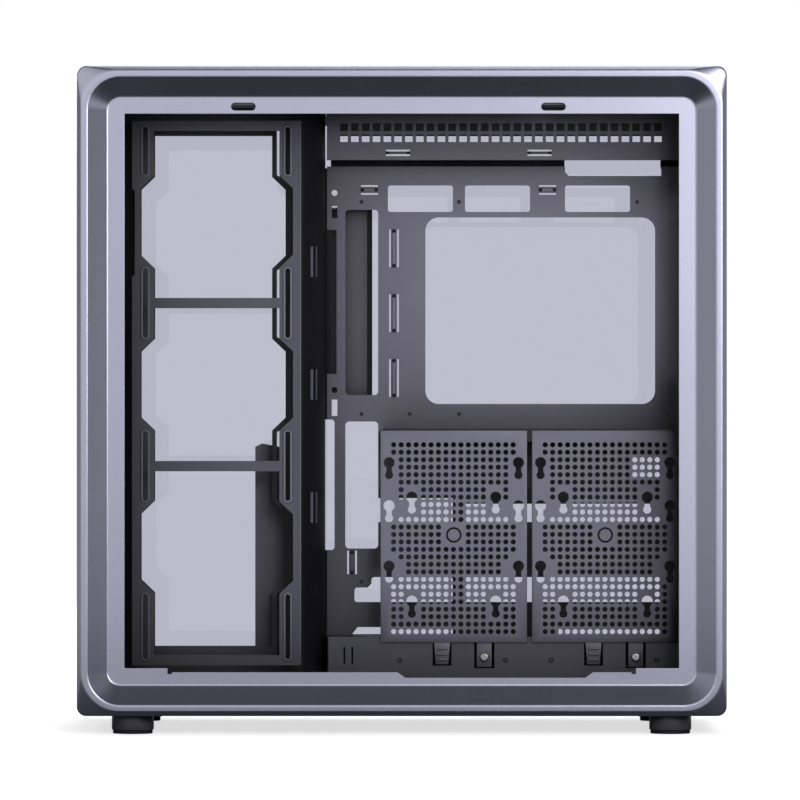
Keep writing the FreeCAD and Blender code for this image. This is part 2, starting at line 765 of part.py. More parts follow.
def joined_windows(at):
    """The two stepped cut-outs at the front of the drive plates, with rounded ends."""
    x = board_x
    z = board_z
    web_front = x - BOARD_COLUMN_MID - WINDOW_WEB / 2
    slot_front = x - CABLE_SLOT_BACK
    slot_rear = slot_front + CABLE_SLOT_WIDTH
    slot_high = z - LOW_SLOT_TOP
    band_high = z - UPPER_BAND_TOP
    upper = joined_window(at, [
        rect(at, slot_front, slot_rear, slot_high - LOW_SLOT_HEIGHT, slot_high, LOW_SLOT_RADIUS),
        rect(at, slot_front + LOW_SLOT_RADIUS, web_front, band_high - UPPER_BAND_HEIGHT, band_high)])
    step_high = z - LOWER_BAND_TOP
    step_low = step_high - LOWER_BAND_HEIGHT
    step_rear = x - LOWER_BAND_FRONT
    inner = step_high - STEP_DROP
    lower = joined_window(at, [
        rect(at, step_rear - STEP_LENGTH, web_front, step_low, inner, STEP_RADIUS),
        rect(at, step_rear, web_front, step_low, step_high, STEP_RADIUS),
        polygon(at, [(step_rear - STEP_CHAMFER, inner), (step_rear, inner - STEP_CHAMFER),
                     (step_rear + STEP_CHAMFER, inner), (step_rear, inner + STEP_CHAMFER)])])
    return [upper, lower]


def motherboard_tray():
    at = at_y(tray_face)
    x = board_x
    z = board_z
    high = top_under - TRAY_TOP
    notch_high = z - EDGE_NOTCH_TOP
    notch_low = notch_high - EDGE_NOTCH_HEIGHT
    low_notch_high = z - LOW_NOTCH_TOP
    low_notch_low = low_notch_high - LOW_NOTCH_HEIGHT
    low_notch_end = tray_left + LOW_NOTCH_WIDTH
    cut = LOW_NOTCH_CHAMFER
    corner_rear = x - CORNER_CUT_BACK
    corner_front = corner_rear - CORNER_CUT_LENGTH
    corner_low = z + CORNER_CUT_RISE
    outline = polygon(at, [
        (tray_left, base_top), (rear_in, base_top), (rear_in, high), (corner_rear, high),
        (corner_rear, corner_low), (corner_front + CORNER_CUT_CHAMFER, corner_low),
        (corner_front, corner_low + CORNER_CUT_CHAMFER), (corner_front, high), (tray_left, high),
        (tray_left, notch_high), (tray_left + EDGE_NOTCH_WIDTH, notch_high),
        (tray_left + EDGE_NOTCH_WIDTH, notch_low), (tray_left, notch_low),
        (tray_left, low_notch_high), (low_notch_end - cut, low_notch_high),
        (low_notch_end, low_notch_high - cut), (low_notch_end, low_notch_low + cut),
        (low_notch_end - cut, low_notch_low), (tray_left, low_notch_low)])
    holes = [rect(at, *window) for window in tray_windows()]
    band_low = shelf_top + STEEL / 2
    band_rear = x - BOARD_COLUMN_MID - WINDOW_WEB / 2
    band_front = band_rear - FRONT_BAND_LENGTH
    holes.append(polygon(at, [
        (band_front, band_low), (band_rear, band_low), (band_rear, band_low + BASE_BAND_HEIGHT),
        (band_front + FRONT_BAND_SLANT, band_low + BASE_BAND_HEIGHT)]))
    edge_x = tray_left + EDGE_HOLE_IN
    for rise in (EDGE_HOLE_RISE, -EDGE_HOLE_DROP):
        holes.append(circle(at, ALONG_Y, edge_x, z + rise, EDGE_HOLE_RADIUS))
    half = EDGE_SLOT_WIDTH / 2
    for top, height in ((EDGE_SLOT_TOP, EDGE_SLOT_HEIGHT), (LOW_EDGE_SLOT_TOP, LOW_EDGE_SLOT_HEIGHT)):
        holes.append(rect(at, edge_x - half, edge_x + half, z - top - height, z - top))
    for place_x, place_z in standoff_places():
        holes.append(circle(at, ALONG_Y, place_x, place_z, STANDOFF_BORE))
    for back in (TIE_BACK_A, TIE_BACK_B):
        holes += tie_pair(at, x - back, z + TIE_RISE, TIE_LENGTH)
    for number in range(LONG_TIE_COUNT):
        holes += tie_pair(at, x - LONG_TIE_BACK, z - LONG_TIE_TOP - number * LONG_TIE_PITCH,
                          LONG_TIE_LENGTH, True)
    holes += tie_pair(at, x - LOW_TIE_BACK, z - LOW_TIE_DROP, LOW_TIE_LENGTH, True)
    cuts = [Part.Face(hole).extrude(ALONG_Y * STEEL) for hole in holes]
    return Part.Face(outline).extrude(ALONG_Y * STEEL).cut(cuts + joined_windows(at))


def tray_strip():
    """Two angle strips behind the tray's upper edge, one on each side of its corner cut-out."""
    high = top_under - TRAY_TOP
    lip_y = tray_back + TRAY_LIP_STAND
    corner_rear = board_x - CORNER_CUT_BACK
    corner_front = corner_rear - CORNER_CUT_LENGTH
    strips = []
    for start, end in ((tray_left + COLUMN_LAP, corner_front), (corner_rear, rear_in)):
        web = box(start, end, tray_back, lip_y, high - STEEL, high)
        lip = box(start, end, lip_y, lip_y + STEEL, high - STEEL, high + TRAY_LIP_RISE)
        strips.append(web.fuse(lip).removeSplitter().Solids[0])
    return Part.makeCompound(strips)


def standoffs():
    posts = []
    corner = STANDOFF_FLATS / math.sqrt(3)
    for x, z in standoff_places():
        turn = [math.radians(60 * number) for number in range(6)]
        outline = polygon(at_y(tray_back), [
            (x + corner * math.cos(angle), z + corner * math.sin(angle)) for angle in turn])
        post = sheet(outline, [], ALONG_Y, STANDOFF_HEIGHT)
        foot = Vector(x, tray_back + STANDOFF_FLOOR, z)
        posts.append(post.cut(Part.makeCylinder(STANDOFF_BORE, STANDOFF_HEIGHT, foot, ALONG_Y)))
    return Part.makeCompound(posts)


def top_rail():
    at = at_y(rail_face)
    low = top_under - RAIL_HEIGHT
    holes = []
    half = RAIL_VENT / 2
    for row in range(2):
        z = top_under - RAIL_VENT_DROP - row * RAIL_ROW_PITCH
        for number in range(RAIL_VENT_COUNT):
            x = tray_left + RAIL_VENT_START + number * RAIL_VENT_PITCH
            holes.append(rect(at, x - half, x + half, z - half, z + half))
    fold = box(tray_left, rear_in, rail_face, rail_face + RAIL_FOLD, low, low + STEEL)
    for start in (RAIL_TIE_A, RAIL_TIE_B):
        x = tray_left + start
        holes += tie_pair(at, x, top_under - RAIL_TIE_DROP, RAIL_TIE_LENGTH, gap=RAIL_TIE_GAP)
    face = sheet(rect(at, tray_left, rear_in, low, top_under), holes, ALONG_Y, STEEL)
    return face.fuse(fold).removeSplitter()


def stepped_window(at, front, rear, low, high, tab_ends):
    """A fan window whose sides step inwards at the screw tabs."""
    front_points = []
    rear_points = []
    for tab_low, tab_high in tab_ends:
        start = max(tab_low, low)
        end = min(tab_high, high)
        if start > low:
            front_points += [(front, start - BRACKET_TAB_RAMP), (front + BRACKET_TAB, start)]
            rear_points += [(rear, start - BRACKET_TAB_RAMP), (rear - BRACKET_TAB, start)]
        else:
            front_points.append((front + BRACKET_TAB, low))
            rear_points.append((rear - BRACKET_TAB, low))
        if end < high:
            front_points += [(front + BRACKET_TAB, end), (front, end + BRACKET_TAB_RAMP)]
            rear_points += [(rear - BRACKET_TAB, end), (rear, end + BRACKET_TAB_RAMP)]
        else:
            front_points.append((front + BRACKET_TAB, high))
            rear_points.append((rear - BRACKET_TAB, high))
    return polygon(at, front_points + rear_points[::-1])


def fan_tabs():
    """Low and high ends of the screw tabs, from the floor up."""
    reach = 1.5 * FAN_SIZE
    middles = [fan_z - reach, fan_z - FAN_SIZE / 2, fan_z + FAN_SIZE / 2, fan_z + reach]
    half = BRACKET_TAB_HALF
    return [(middle - half, middle + half) for middle in middles]


def fan_slots(at, x):
    """Upright screw slots, one to a tab; the end ones stop short of the bracket's ends."""
    half = BRACKET_SLOT / 2
    slots = []
    for tab_low, tab_high in fan_tabs():
        middle = (tab_low + tab_high) / 2
        start = max(middle - BRACKET_SLOT_LENGTH / 2, bracket_low + BRACKET_SLOT_END)
        end = min(middle + BRACKET_SLOT_LENGTH / 2, bracket_high - BRACKET_SLOT_END)
        slots.append(rect(at, x - half, x + half, start, end, half))
    return slots


def fan_bracket():
    """Bracket for three fans, with a stiffener behind its front edge that stands on the fan wall."""
    at = at_y(plate_face)
    low = bracket_low
    high = bracket_high
    tabs = fan_tabs()
    front = bracket_left + BRACKET_MARGIN
    rear = bracket_right - BRACKET_MARGIN
    holes = []
    for number in range(3):
        start = fan_z + (number - 1.5) * FAN_SIZE + BRACKET_DIVIDER / 2
        end = fan_z + (number - 0.5) * FAN_SIZE - BRACKET_DIVIDER / 2
        if number == 0:
            start = low + BRACKET_END
        if number == 2:
            end = high - BRACKET_END
        ends = [tab for tab in tabs if tab[1] > start and tab[0] < end]
        holes.append(stepped_window(at, front, rear, start, end, ends))
    notch_high = high - BRACKET_NOTCH_DROP
    notch_low = notch_high - BRACKET_NOTCH_HEIGHT
    stem = bracket_left + BRACKET_NOTCH
    outline = polygon(at, [
        (bracket_left, low), (bracket_right, low), (bracket_right, high), (bracket_left, high),
        (bracket_left, notch_high), (stem, notch_high), (stem, notch_low), (bracket_left, notch_low)])
    for x in (bracket_left + BRACKET_SLOT_IN, bracket_right - BRACKET_SLOT_IN):
        holes += fan_slots(at, x)
    stiffener = box(stem, stem + STEEL, plate_back, tray_face - STEEL, low, high)
    return sheet(outline, holes, ALONG_Y, STEEL).fuse(stiffener).removeSplitter()


wall_front_edge = bracket_left + BRACKET_MARGIN
wall_rear_edge = bracket_right - BRACKET_MARGIN - WALL_STEP


def fan_wall():
    at = at_y(tray_face - STEEL)
    low = base_top + WALL_LOW_BAR
    high = top_under - WALL_TOP_BAR
    holes = [stepped_window(at, wall_front_edge, wall_rear_edge, low, high, fan_tabs())]
    inset = BRACKET_TAB - WALL_SLOT_IN
    holes += fan_slots(at, wall_rear_edge - inset)
    outline = rect(at, front_in, tray_left - 2 * STEEL, base_top, top_under)
    return sheet(outline, holes, ALONG_Y, STEEL)


def cable_column():
    """A slanted post from the fan bracket back to the tray, with a ledge under the bracket."""
    near = plate_back
    far = tray_face - 2 * STEEL
    start = bracket_right - COLUMN_LEDGE
    end = tray_left - STEEL
    outline = polygon(at_z(base_top), [
        (start, near), (bracket_right + STEEL, near), (end, far), (end, tray_face),
        (end - STEEL, tray_face), (end - STEEL, far), (bracket_right, near + STEEL), (start, near + STEEL)])
    column = Part.Face(outline).extrude(ALONG_Z * (top_under - base_top))
    middle = (bracket_right + end) / 2
    cuts = []
    for number in range(3):
        z = fan_z + (number - 1) * COLUMN_TIE_PITCH
        for side in (-1, 1):
            x = middle + side * TIE_GAP / 2
            cuts.append(box(x - TIE_SLOT / 2, x + TIE_SLOT / 2, near, far,
                            z - COLUMN_TIE_LENGTH / 2, z + COLUMN_TIE_LENGTH / 2))
    return column.cut(cuts)


def keyhole_places(left):
    """Big-circle centres of the drive keyholes on a plate."""
    middle = left + PLATE_LENGTH / 2
    places = []
    for side in (-1, 1):
        for step in (0.0, DRIVE_ROW_STEP, DRIVE_ROW_LAST):
            places.append((middle + side * DRIVE_SPAN_WIDE / 2, plate_high - DRIVE_ROW_TOP - step))
        for step in (0.0, SSD_ROW_STEP):
            places.append((middle + side * SSD_SPAN / 2, plate_high - SSD_ROW_TOP - step))
    return places


def keyhole(at, x, z):
    big = Part.Face(circle(at, ALONG_Y, x, z, KEY_RADIUS))
    neck = Part.Face(rect(at, x - KEY_NECK, x + KEY_NECK, z - KEY_DROP - KEY_NECK, z, KEY_NECK))
    return big.fuse(neck).removeSplitter()


def drive_plate(left):
    at = at_y(plate_face)
    middle = left + PLATE_LENGTH / 2
    keys = keyhole_places(left)
    pin_z = plate_high - PIN_DROP
    holes = [circle(at, ALONG_Y, middle, pin_z, PIN_BORE)]
    half = GRID_HOLE / 2
    for row in range(GRID_ROWS):
        z = plate_high - GRID_TOP - row * GRID_PITCH
        for column in range(GRID_COLUMNS):
            x = middle + (column - (GRID_COLUMNS - 1) / 2) * GRID_PITCH
            reach = half + KEY_RADIUS + GRID_CLEAR
            clear = True
            for key_x, key_z in keys:
                beside = abs(x - key_x) < reach
                level = key_z - KEY_DROP - reach < z < key_z + reach
                if beside and level:
                    clear = False
            if math.hypot(x - middle, z - pin_z) < PIN_BORE + reach - KEY_RADIUS + half / 2:
                clear = False
            if clear:
                holes.append(rect(at, x - half, x + half, z - half, z + half))
    plate = sheet(rect(at, left, left + PLATE_LENGTH, plate_low, plate_high), holes, ALONG_Y, STEEL)
    plate = plate.cut([keyhole(at, x, z).extrude(ALONG_Y * STEEL) for x, z in keys])
    folds = []
    for start in (left, left + PLATE_LENGTH - STEEL):
        folds.append(box(start, start + STEEL, plate_back, plate_back + PLATE_RETURN,
                         shelf_top + STEEL, plate_high - PLATE_RETURN_END))
    clip_x = left + CLIP_START
    clip = polygon(at, [
        (clip_x, plate_low), (clip_x + CLIP_LENGTH, plate_low),
        (clip_x + CLIP_LENGTH - CLIP_TAPER, plate_low - CLIP_DROP),
        (clip_x + CLIP_TAPER, plate_low - CLIP_DROP)])
    folds.append(Part.Face(clip).extrude(ALONG_Y * STEEL))
    tab_x = left + SCREW_TAB_START
    tab = box(tab_x, tab_x + SCREW_TAB_LENGTH, plate_back, plate_back + STEEL,
              plate_low - SCREW_TAB_DROP, plate_low + SCREW_TAB_LAP)
    bore = Part.makeCylinder(SCREW_BORE, STEEL, Vector(*screw_place(left)), ALONG_Y)
    folds.append(tab.cut(bore))
    return plate.fuse(folds).removeSplitter()


def screw_place(left):
    x = left + SCREW_TAB_START + SCREW_TAB_LENGTH / 2
    return x, plate_back, plate_low - SCREW_TAB_DROP + SCREW_RISE


plate_starts = (plate_left, plate_left + PLATE_PITCH)


def plate_screws():
    return Part.makeCompound([screw(Vector(*screw_place(left)), ALONG_Y * -1) for left in plate_starts])


def plate_pins():
    pins = []
    for left in plate_starts:
        x = left + PLATE_LENGTH / 2
        z = plate_high - PIN_DROP
        disc = Part.makeCylinder(PIN_DISC, STEEL, Vector(x, plate_face, z), ALONG_Y)
        flange = Part.makeCylinder(PIN_FLANGE, STEEL, Vector(x, plate_back, z), ALONG_Y)
        pins.append(disc.fuse(flange).removeSplitter())
    return Part.makeCompound(pins)


def bottom_shelf():
    at = at_y(plate_back)
    start = tray_left + STEEL
    holes = []
    for left in plate_starts:
        for place in (SHELF_HOLE_A, SHELF_HOLE_B):
            holes.append(circle(at, ALONG_Y, left + place, base_top + SHELF_HOLE_RISE, SHELF_HOLE))
    tie_z = (base_top + shelf_top) / 2 + STEEL
    holes += tie_pair(at, start + SHELF_TIE_IN, tie_z, SHELF_TIE_LENGTH, True)
    face = sheet(rect(at, start, rear_in, base_top, shelf_top), holes, ALONG_Y, STEEL)
    web = box(start, rear_in, plate_back, tray_face, shelf_top - STEEL, shelf_top)
    shelf = face.fuse(web).removeSplitter()
    cuts = []
    for left in plate_starts:
        tab_x = left + SCREW_TAB_START
        cuts.append(box(tab_x - SCREW_TAB_CLEAR, tab_x + SCREW_TAB_LENGTH + SCREW_TAB_CLEAR,
                        plate_back, plate_back + 2 * STEEL,
                        plate_low - SCREW_TAB_DROP - SCREW_TAB_CLEAR / 2, shelf_top))
        clip_x = left + CLIP_START
        cuts.append(box(clip_x - CLIP_CLEAR, clip_x + CLIP_LENGTH + CLIP_CLEAR, plate_back, plate_back + STEEL,
                        plate_low - CLIP_DROP - CLIP_CLEAR, shelf_top - STEEL))
    return shelf.cut(cuts)


def drive_hanger():
    """An angle on the tray that the tops of the two drive plates lie against."""
    start = plate_left + 2 * STEEL
    end = plates_end - 2 * STEEL
    web = box(start, end, plate_back, tray_face, plate_high, plate_high + STEEL)
    lip = box(start, end, plate_back, plate_back + STEEL, plate_high - HANGER_LIP, plate_high)
    return web.fuse(lip).removeSplitter()


def cable_cover():
    start = tray_left + COVER_IN
    high = board_z - COVER_TOP_DROP
    low = high - COVER_HEIGHT
    face_y = tray_back + COVER_STAND
    face = box(start, start + COVER_LENGTH, face_y, face_y + STEEL, low, high)
    legs = [
        box(start, start + COVER_LENGTH, tray_back, face_y, low, low + STEEL),
        box(start, start + COVER_LENGTH, tray_back, face_y, high - STEEL, high),
    ]
    return face.fuse(legs).removeSplitter()


def cover_trim():
    """A rubber edge strip on the free edge of the cable cover."""
    start = tray_left + COVER_IN + COVER_LENGTH
    high = board_z - COVER_TOP_DROP
    face_y = tray_back + COVER_STAND - (TRIM_SHEET - STEEL) / 2
    return box(start, start + TRIM_LENGTH, face_y, face_y + TRIM_SHEET, high - COVER_HEIGHT, high)


def card_support():
    end = tray_left - 2 * STEEL
    start = end - SUPPORT_LENGTH
    face_y = tray_face + SUPPORT_STAND
    high = base_top + SUPPORT_HEIGHT
    outline = polygon(at_y(face_y), [
        (start, base_top), (end, base_top), (end, high - SUPPORT_SLOPE),
        (start + SUPPORT_FOOT, high - SUPPORT_SLOPE / 2), (start + SUPPORT_SLOPE, high),
        (start, high - SUPPORT_SLOPE / 2)])
    face = Part.Face(outline).extrude(ALONG_Y * STEEL)
    foot = box(start, end, face_y, face_y + SUPPORT_FOOT, base_top, base_top + STEEL)
    return face.fuse(foot).removeSplitter()


def io_housing():
    low = top_under + STEEL
    housing = box(io_x0, io_x0 + IO_BOX_LENGTH, io_y0, io_y0 + IO_BOX_WIDTH, low, panel_under)
    power, reset, jack, usb_c, usb_a, usb_b = io_holes(BUTTON_CLEAR, IO_CLEAR, panel_under)
    button_room = ALONG_Z * -(BUTTON_HEIGHT + BUTTON_ROOM - WRAP_SHEET)
    port_room = ALONG_Z * -IO_WELL
    wells = [Part.Face(wire).extrude(button_room) for wire in (power, reset)]
    wells += [Part.Face(wire).extrude(port_room) for wire in (jack, usb_c, usb_a, usb_b)]
    return housing.cut(wells)


def button(place, radius):
    low = z_high - IO_SINK - BUTTON_HEIGHT
    body = Part.makeCylinder(radius, BUTTON_HEIGHT, Vector(io_x0 + place, io_y, low), ALONG_Z)
    rim = [edge for edge in body.Edges if edge.BoundBox.ZMin > low + BUTTON_HEIGHT / 2
           and edge.BoundBox.ZLength < STEEL]
    return body.makeChamfer(IO_SINK, rim)


def port_shell(outer, inner, tongue):
    """A socket: a thin shell standing on the floor of its well, with a contact tongue."""
    floor = panel_under - IO_WELL
    height = IO_WELL + WRAP_SHEET - IO_SINK
    shell = outer.extrude(ALONG_Z * height)
    room = inner.extrude(ALONG_Z * height)
    room.translate(ALONG_Z * USB_FLOOR)
    shell = shell.cut(room)
    if tongue is not None:
        shell = shell.fuse(tongue.extrude(ALONG_Z * (height - USB_FLOOR)))
    shell.translate(ALONG_Z * floor)
    return shell.removeSplitter()


def usb_a_ports():
    ports = []
    for number in range(2):
        middle = io_x0 + USB_A_AT + number * USB_A_PITCH
        long_half = USB_A_LENGTH / 2
        wide_half = USB_A_WIDTH / 2
        outer = rect(at_z(0), middle - long_half, middle + long_half, io_y - wide_half, io_y + wide_half)
        inner = rect(at_z(0), middle - long_half + USB_WALL, middle + long_half - USB_WALL,
                     io_y - wide_half + USB_WALL, io_y + wide_half - USB_WALL)
        tongue = rect(at_z(0), middle - long_half + 2 * USB_WALL, middle + long_half - 2 * USB_WALL,
                      io_y, io_y + USB_TONGUE)
        ports.append(port_shell(Part.Face(outer), Part.Face(inner), Part.Face(tongue)))
    return Part.makeCompound(ports)


def usb_c_port():
    middle = io_x0 + USB_C_AT
    long_half = USB_C_LENGTH / 2
    wide_half = USB_C_WIDTH / 2
    outer = rect(at_z(0), middle - long_half, middle + long_half,
                 io_y - wide_half, io_y + wide_half, wide_half)
    inner = rect(at_z(0), middle - long_half + USB_WALL, middle + long_half - USB_WALL,
                 io_y - wide_half + USB_WALL, io_y + wide_half - USB_WALL, wide_half - USB_WALL)
    tongue = rect(at_z(0), middle - long_half / 2, middle + long_half / 2,
                  io_y - USB_WALL, io_y + USB_WALL)
    return port_shell(Part.Face(outer), Part.Face(inner), Part.Face(tongue))


def audio_jack():
    x = io_x0 + JACK_AT
    outer = circle(at_z(0), ALONG_Z, x, io_y, JACK_RADIUS)
    inner = circle(at_z(0), ALONG_Z, x, io_y, JACK_BORE)
    return port_shell(Part.Face(outer), Part.Face(inner), None)


def foot(x, y):
    body = Part.makeCylinder(FOOT_RADIUS, FOOT_HEIGHT - PAD_HEIGHT, Vector(x, y, PAD_HEIGHT), ALONG_Z)
    rim = [edge for edge in body.Edges if edge.BoundBox.ZMax < PAD_HEIGHT + FOOT_EDGE]
    return body.makeChamfer(FOOT_EDGE, rim)


def foot_pad(x, y):
    body = Part.makeCylinder(PAD_RADIUS, PAD_HEIGHT, Vector(x, y, 0), ALONG_Z)
    rim = [edge for edge in body.Edges if edge.BoundBox.ZMax < PAD_EDGE]
    return body.makeChamfer(PAD_EDGE, rim)


frame_right = end_frame()
nodes = {
    "side_frame_right": frame_right,
    "side_frame_left": frame_right.mirror(Vector(0, 0, 0), ALONG_Y),
    "side_glass": side_glass(),
    "glass_hooks": glass_hooks(),
    "top_panel": top_panel(),
    "bottom_panel": bottom_panel(),
    "front_cover": front_piece(-wrap_half, -FRONT_SPLIT, WRAP_SHEET),
    "front_glass": front_piece(-FRONT_SPLIT, wrap_half, GLASS_SHEET),
    "top_filter": filter_sheet(panel_under - FILTER_SHEET),
    "bottom_filter": filter_sheet(z_low + WRAP_SHEET),
    "chassis_top": chassis_top(),
    "chassis_base": chassis_base(),
    "front_wall": front_wall(),
    "rear_panel": rear_panel(),
    "slot_cover_screws": slot_cover_screws(),
    "psu_bracket": psu_bracket(),
    "psu_bracket_screws": psu_bracket_screws(),
    "motherboard_tray": motherboard_tray(),
    "tray_strip": tray_strip(),
    "standoffs": standoffs(),
    "top_rail": top_rail(),
    "fan_bracket": fan_bracket(),
    "fan_wall": fan_wall(),
    "cable_column": cable_column(),
    "drive_plate_front": drive_plate(plate_starts[0]),
    "drive_plate_rear": drive_plate(plate_starts[1]),
    "plate_screws": plate_screws(),
    "plate_pins": plate_pins(),
    "drive_hanger": drive_hanger(),
    "bottom_shelf": bottom_shelf(),
    "cable_cover": cable_cover(),
    "cover_trim": cover_trim(),
    "card_support": card_support(),
    "io_housing": io_housing(),
    "power_button": button(POWER_AT, POWER_RADIUS),
    "reset_button": button(RESET_AT, RESET_RADIUS),
    "usb_a_ports": usb_a_ports(),
    "usb_c_port": usb_c_port(),
    "audio_jack": audio_jack(),
}
for number in range(SLOT_COUNT):
    nodes["slot_cover_" + str(number + 1)] = slot_cover(number)
foot_x = half_length - FOOT_IN_X
foot_y = half_width - FOOT_IN_Y
for end, x in (("front", -foot_x), ("rear", foot_x)):
    for side, y in (("right", -foot_y), ("left", foot_y)):
        nodes["foot_" + end + "_" + side] = foot(x, y)
        nodes["foot_pad_" + end + "_" + side] = foot_pad(x, y)

os.makedirs("parts", exist_ok=True)
for name, shape in nodes.items():
    shape.exportStep("parts/" + name + ".step")
    print(name, shape.ShapeType, len(shape.Solids), round(shape.Volume), shape.isValid())
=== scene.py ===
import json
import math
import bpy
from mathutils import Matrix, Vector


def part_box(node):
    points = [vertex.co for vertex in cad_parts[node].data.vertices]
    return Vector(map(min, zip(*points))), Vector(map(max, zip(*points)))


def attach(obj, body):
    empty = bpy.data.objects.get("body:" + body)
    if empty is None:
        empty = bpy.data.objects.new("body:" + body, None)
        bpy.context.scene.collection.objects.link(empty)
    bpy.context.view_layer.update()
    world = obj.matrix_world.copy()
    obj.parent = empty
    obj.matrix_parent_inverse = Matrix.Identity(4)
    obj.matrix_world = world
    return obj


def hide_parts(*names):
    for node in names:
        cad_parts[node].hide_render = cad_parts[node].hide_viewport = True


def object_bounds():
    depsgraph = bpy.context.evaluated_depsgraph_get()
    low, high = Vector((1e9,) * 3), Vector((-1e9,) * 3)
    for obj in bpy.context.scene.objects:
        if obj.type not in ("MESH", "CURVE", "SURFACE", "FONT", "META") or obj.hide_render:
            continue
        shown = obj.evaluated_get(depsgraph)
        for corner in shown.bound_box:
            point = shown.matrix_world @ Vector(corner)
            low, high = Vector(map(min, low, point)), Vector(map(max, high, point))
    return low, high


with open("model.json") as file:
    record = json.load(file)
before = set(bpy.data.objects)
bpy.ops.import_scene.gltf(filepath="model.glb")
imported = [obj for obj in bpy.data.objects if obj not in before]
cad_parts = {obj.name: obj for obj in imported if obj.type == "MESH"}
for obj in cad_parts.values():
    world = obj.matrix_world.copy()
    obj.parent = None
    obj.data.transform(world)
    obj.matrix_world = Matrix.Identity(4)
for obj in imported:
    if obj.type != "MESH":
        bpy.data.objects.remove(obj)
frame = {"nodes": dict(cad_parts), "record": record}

# %% [markdown]
# This lesson dresses a square computer case that stands on four feet with its cable side open.
# The CAD frame already holds every sheet, panel and screw at its place, in metres. Blender gives the
# sheets their finish and remodels the pieces that show the most: the two end frames, the perforated drive
# plates, the screws, the feet and the bowed cable column. Small trim follows: tie straps, rims round the
# bracket's slots, studs and pin caps. The box of the solids is kept first, and the floor's glow is fitted
# to its size.

MM = 0.001
cad_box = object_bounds()
case_size = Vector(cad_box[1]) - Vector(cad_box[0])
solids = frame["nodes"]
print("solids:", len(solids), "box:", [round(value, 4) for corner in cad_box for value in corner])

# %% [markdown]
# The photograph is taken square-on and from far away, so lines that run into the case hardly
# converge. A long lens at almost six metres gives that. The lens axis doesn't pass through the
# middle of the picture, which a small shift puts right without turning the camera.

# %% Camera
PICTURE_SIZE = 800
AXIS_PIXEL = (365, 385)
CAMERA_PLACE = (-26.8 * MM, -5745.0 * MM, 255.4 * MM)
LENS_LENGTH = 346.0
SENSOR_WIDTH = 36.0

lens = bpy.data.cameras.new("product_camera")
lens.sensor_width = SENSOR_WIDTH
lens.lens = LENS_LENGTH
lens.shift_x = (PICTURE_SIZE / 2 - AXIS_PIXEL[0]) / PICTURE_SIZE
lens.shift_y = (AXIS_PIXEL[1] - PICTURE_SIZE / 2) / PICTURE_SIZE
lens.clip_end = 100.0
camera = bpy.data.objects.new("product_camera", lens)
camera.location = CAMERA_PLACE
camera.rotation_euler = (math.radians(90), 0, 0)
bpy.context.scene.collection.objects.link(camera)
bpy.context.scene.camera = camera
bpy.context.scene.view_settings.view_transform = "Standard"
print("camera shift:", round(lens.shift_x, 4), round(lens.shift_y, 4))

# %% [markdown]
# Node trees are easier to read when adding a node takes one line. The first helper adds a node and
# fills in its plain inputs, and two more add a sum of numbers or of vectors. Another joins two
# sockets, by their names or their numbers, and the last shows one kind of ray a shader of its own.

# %% Node helpers
def add_node(tree, kind, settings=None, **inputs):
    node = tree.nodes.new(kind)
    for name, value in (settings or {}).items():
        setattr(node, name, value)
    for name, value in inputs.items():
        node.inputs[name.replace("_", " ")].default_value = value
    return node


def math_node(tree, operation, second=None, kind="ShaderNodeMath"):
    node = add_node(tree, kind, {"operation": operation})
    if second is not None:
        node.inputs[1].default_value = second
    return node


def vector_node(tree, operation, second=None):
    return math_node(tree, operation, second, "ShaderNodeVectorMath")


def join(tree, start, start_name, end, end_name):
    tree.links.new(start.outputs[start_name], end.inputs[end_name])


def split_rays(tree, test, test_name, others, chosen):
    mix = add_node(tree, "ShaderNodeMixShader")
    join(tree, test, test_name, mix, 0)
    join(tree, others, 0, mix, 1)
    join(tree, chosen, 0, mix, 2)
    return mix


print("node helpers ready")

# %% [markdown]
# The light is a soft studio: a bright wall before the case, a dimmer one behind it, dim walls to its
# left and right, and a dark ceiling. Satin metal shows this clearly. A face turned to the camera
# reflects the bright wall, and the sloped bands reflect the ceiling, floor or side walls and turn
# dark. Squaring the direction of a ray gives its share of each axis, and a dot product with the
# brightness of the three pairs of walls turns that into a smooth gradient. A second dot product makes
# one wall of a pair brighter than the other, and a small turn about the upright axis favours the
# photograph's right side. The camera and rays through the glass see plain white, and rays off metal
# see these walls. Other rays get only a share of them, so that the lamps draw the shadows.

# %% Studio walls
WALL_BRIGHTNESS = (0.20, 0.90, 0.0)
WALL_TILT = (-0.045, -0.17, 0.0)
WALL_TURN = math.radians(14)
DIFFUSE_SHARE = 0.12
LIGHT_TINT = (0.985, 0.985, 1.0, 1.0)


def wall_gradient(tree):
    """Brightness of the studio walls in the direction of a ray."""
    direction = add_node(tree, "ShaderNodeTexCoord")
    turned = add_node(tree, "ShaderNodeVectorRotate", {"rotation_type": "Z_AXIS"}, Angle=WALL_TURN)
    squared = vector_node(tree, "MULTIPLY")
    share = vector_node(tree, "DOT_PRODUCT", WALL_BRIGHTNESS)
    tilt = vector_node(tree, "DOT_PRODUCT", WALL_TILT)
    total = math_node(tree, "ADD")
    lit = math_node(tree, "MAXIMUM", 0.0)
    join(tree, direction, "Generated", turned, "Vector")
    join(tree, turned, "Vector", squared, 0)
    join(tree, turned, "Vector", squared, 1)
    join(tree, squared, "Vector", share, 0)
    join(tree, direction, "Generated", tilt, 0)
    join(tree, share, "Value", total, 0)
    join(tree, tilt, "Value", total, 1)
    join(tree, total, "Value", lit, 0)
    return lit


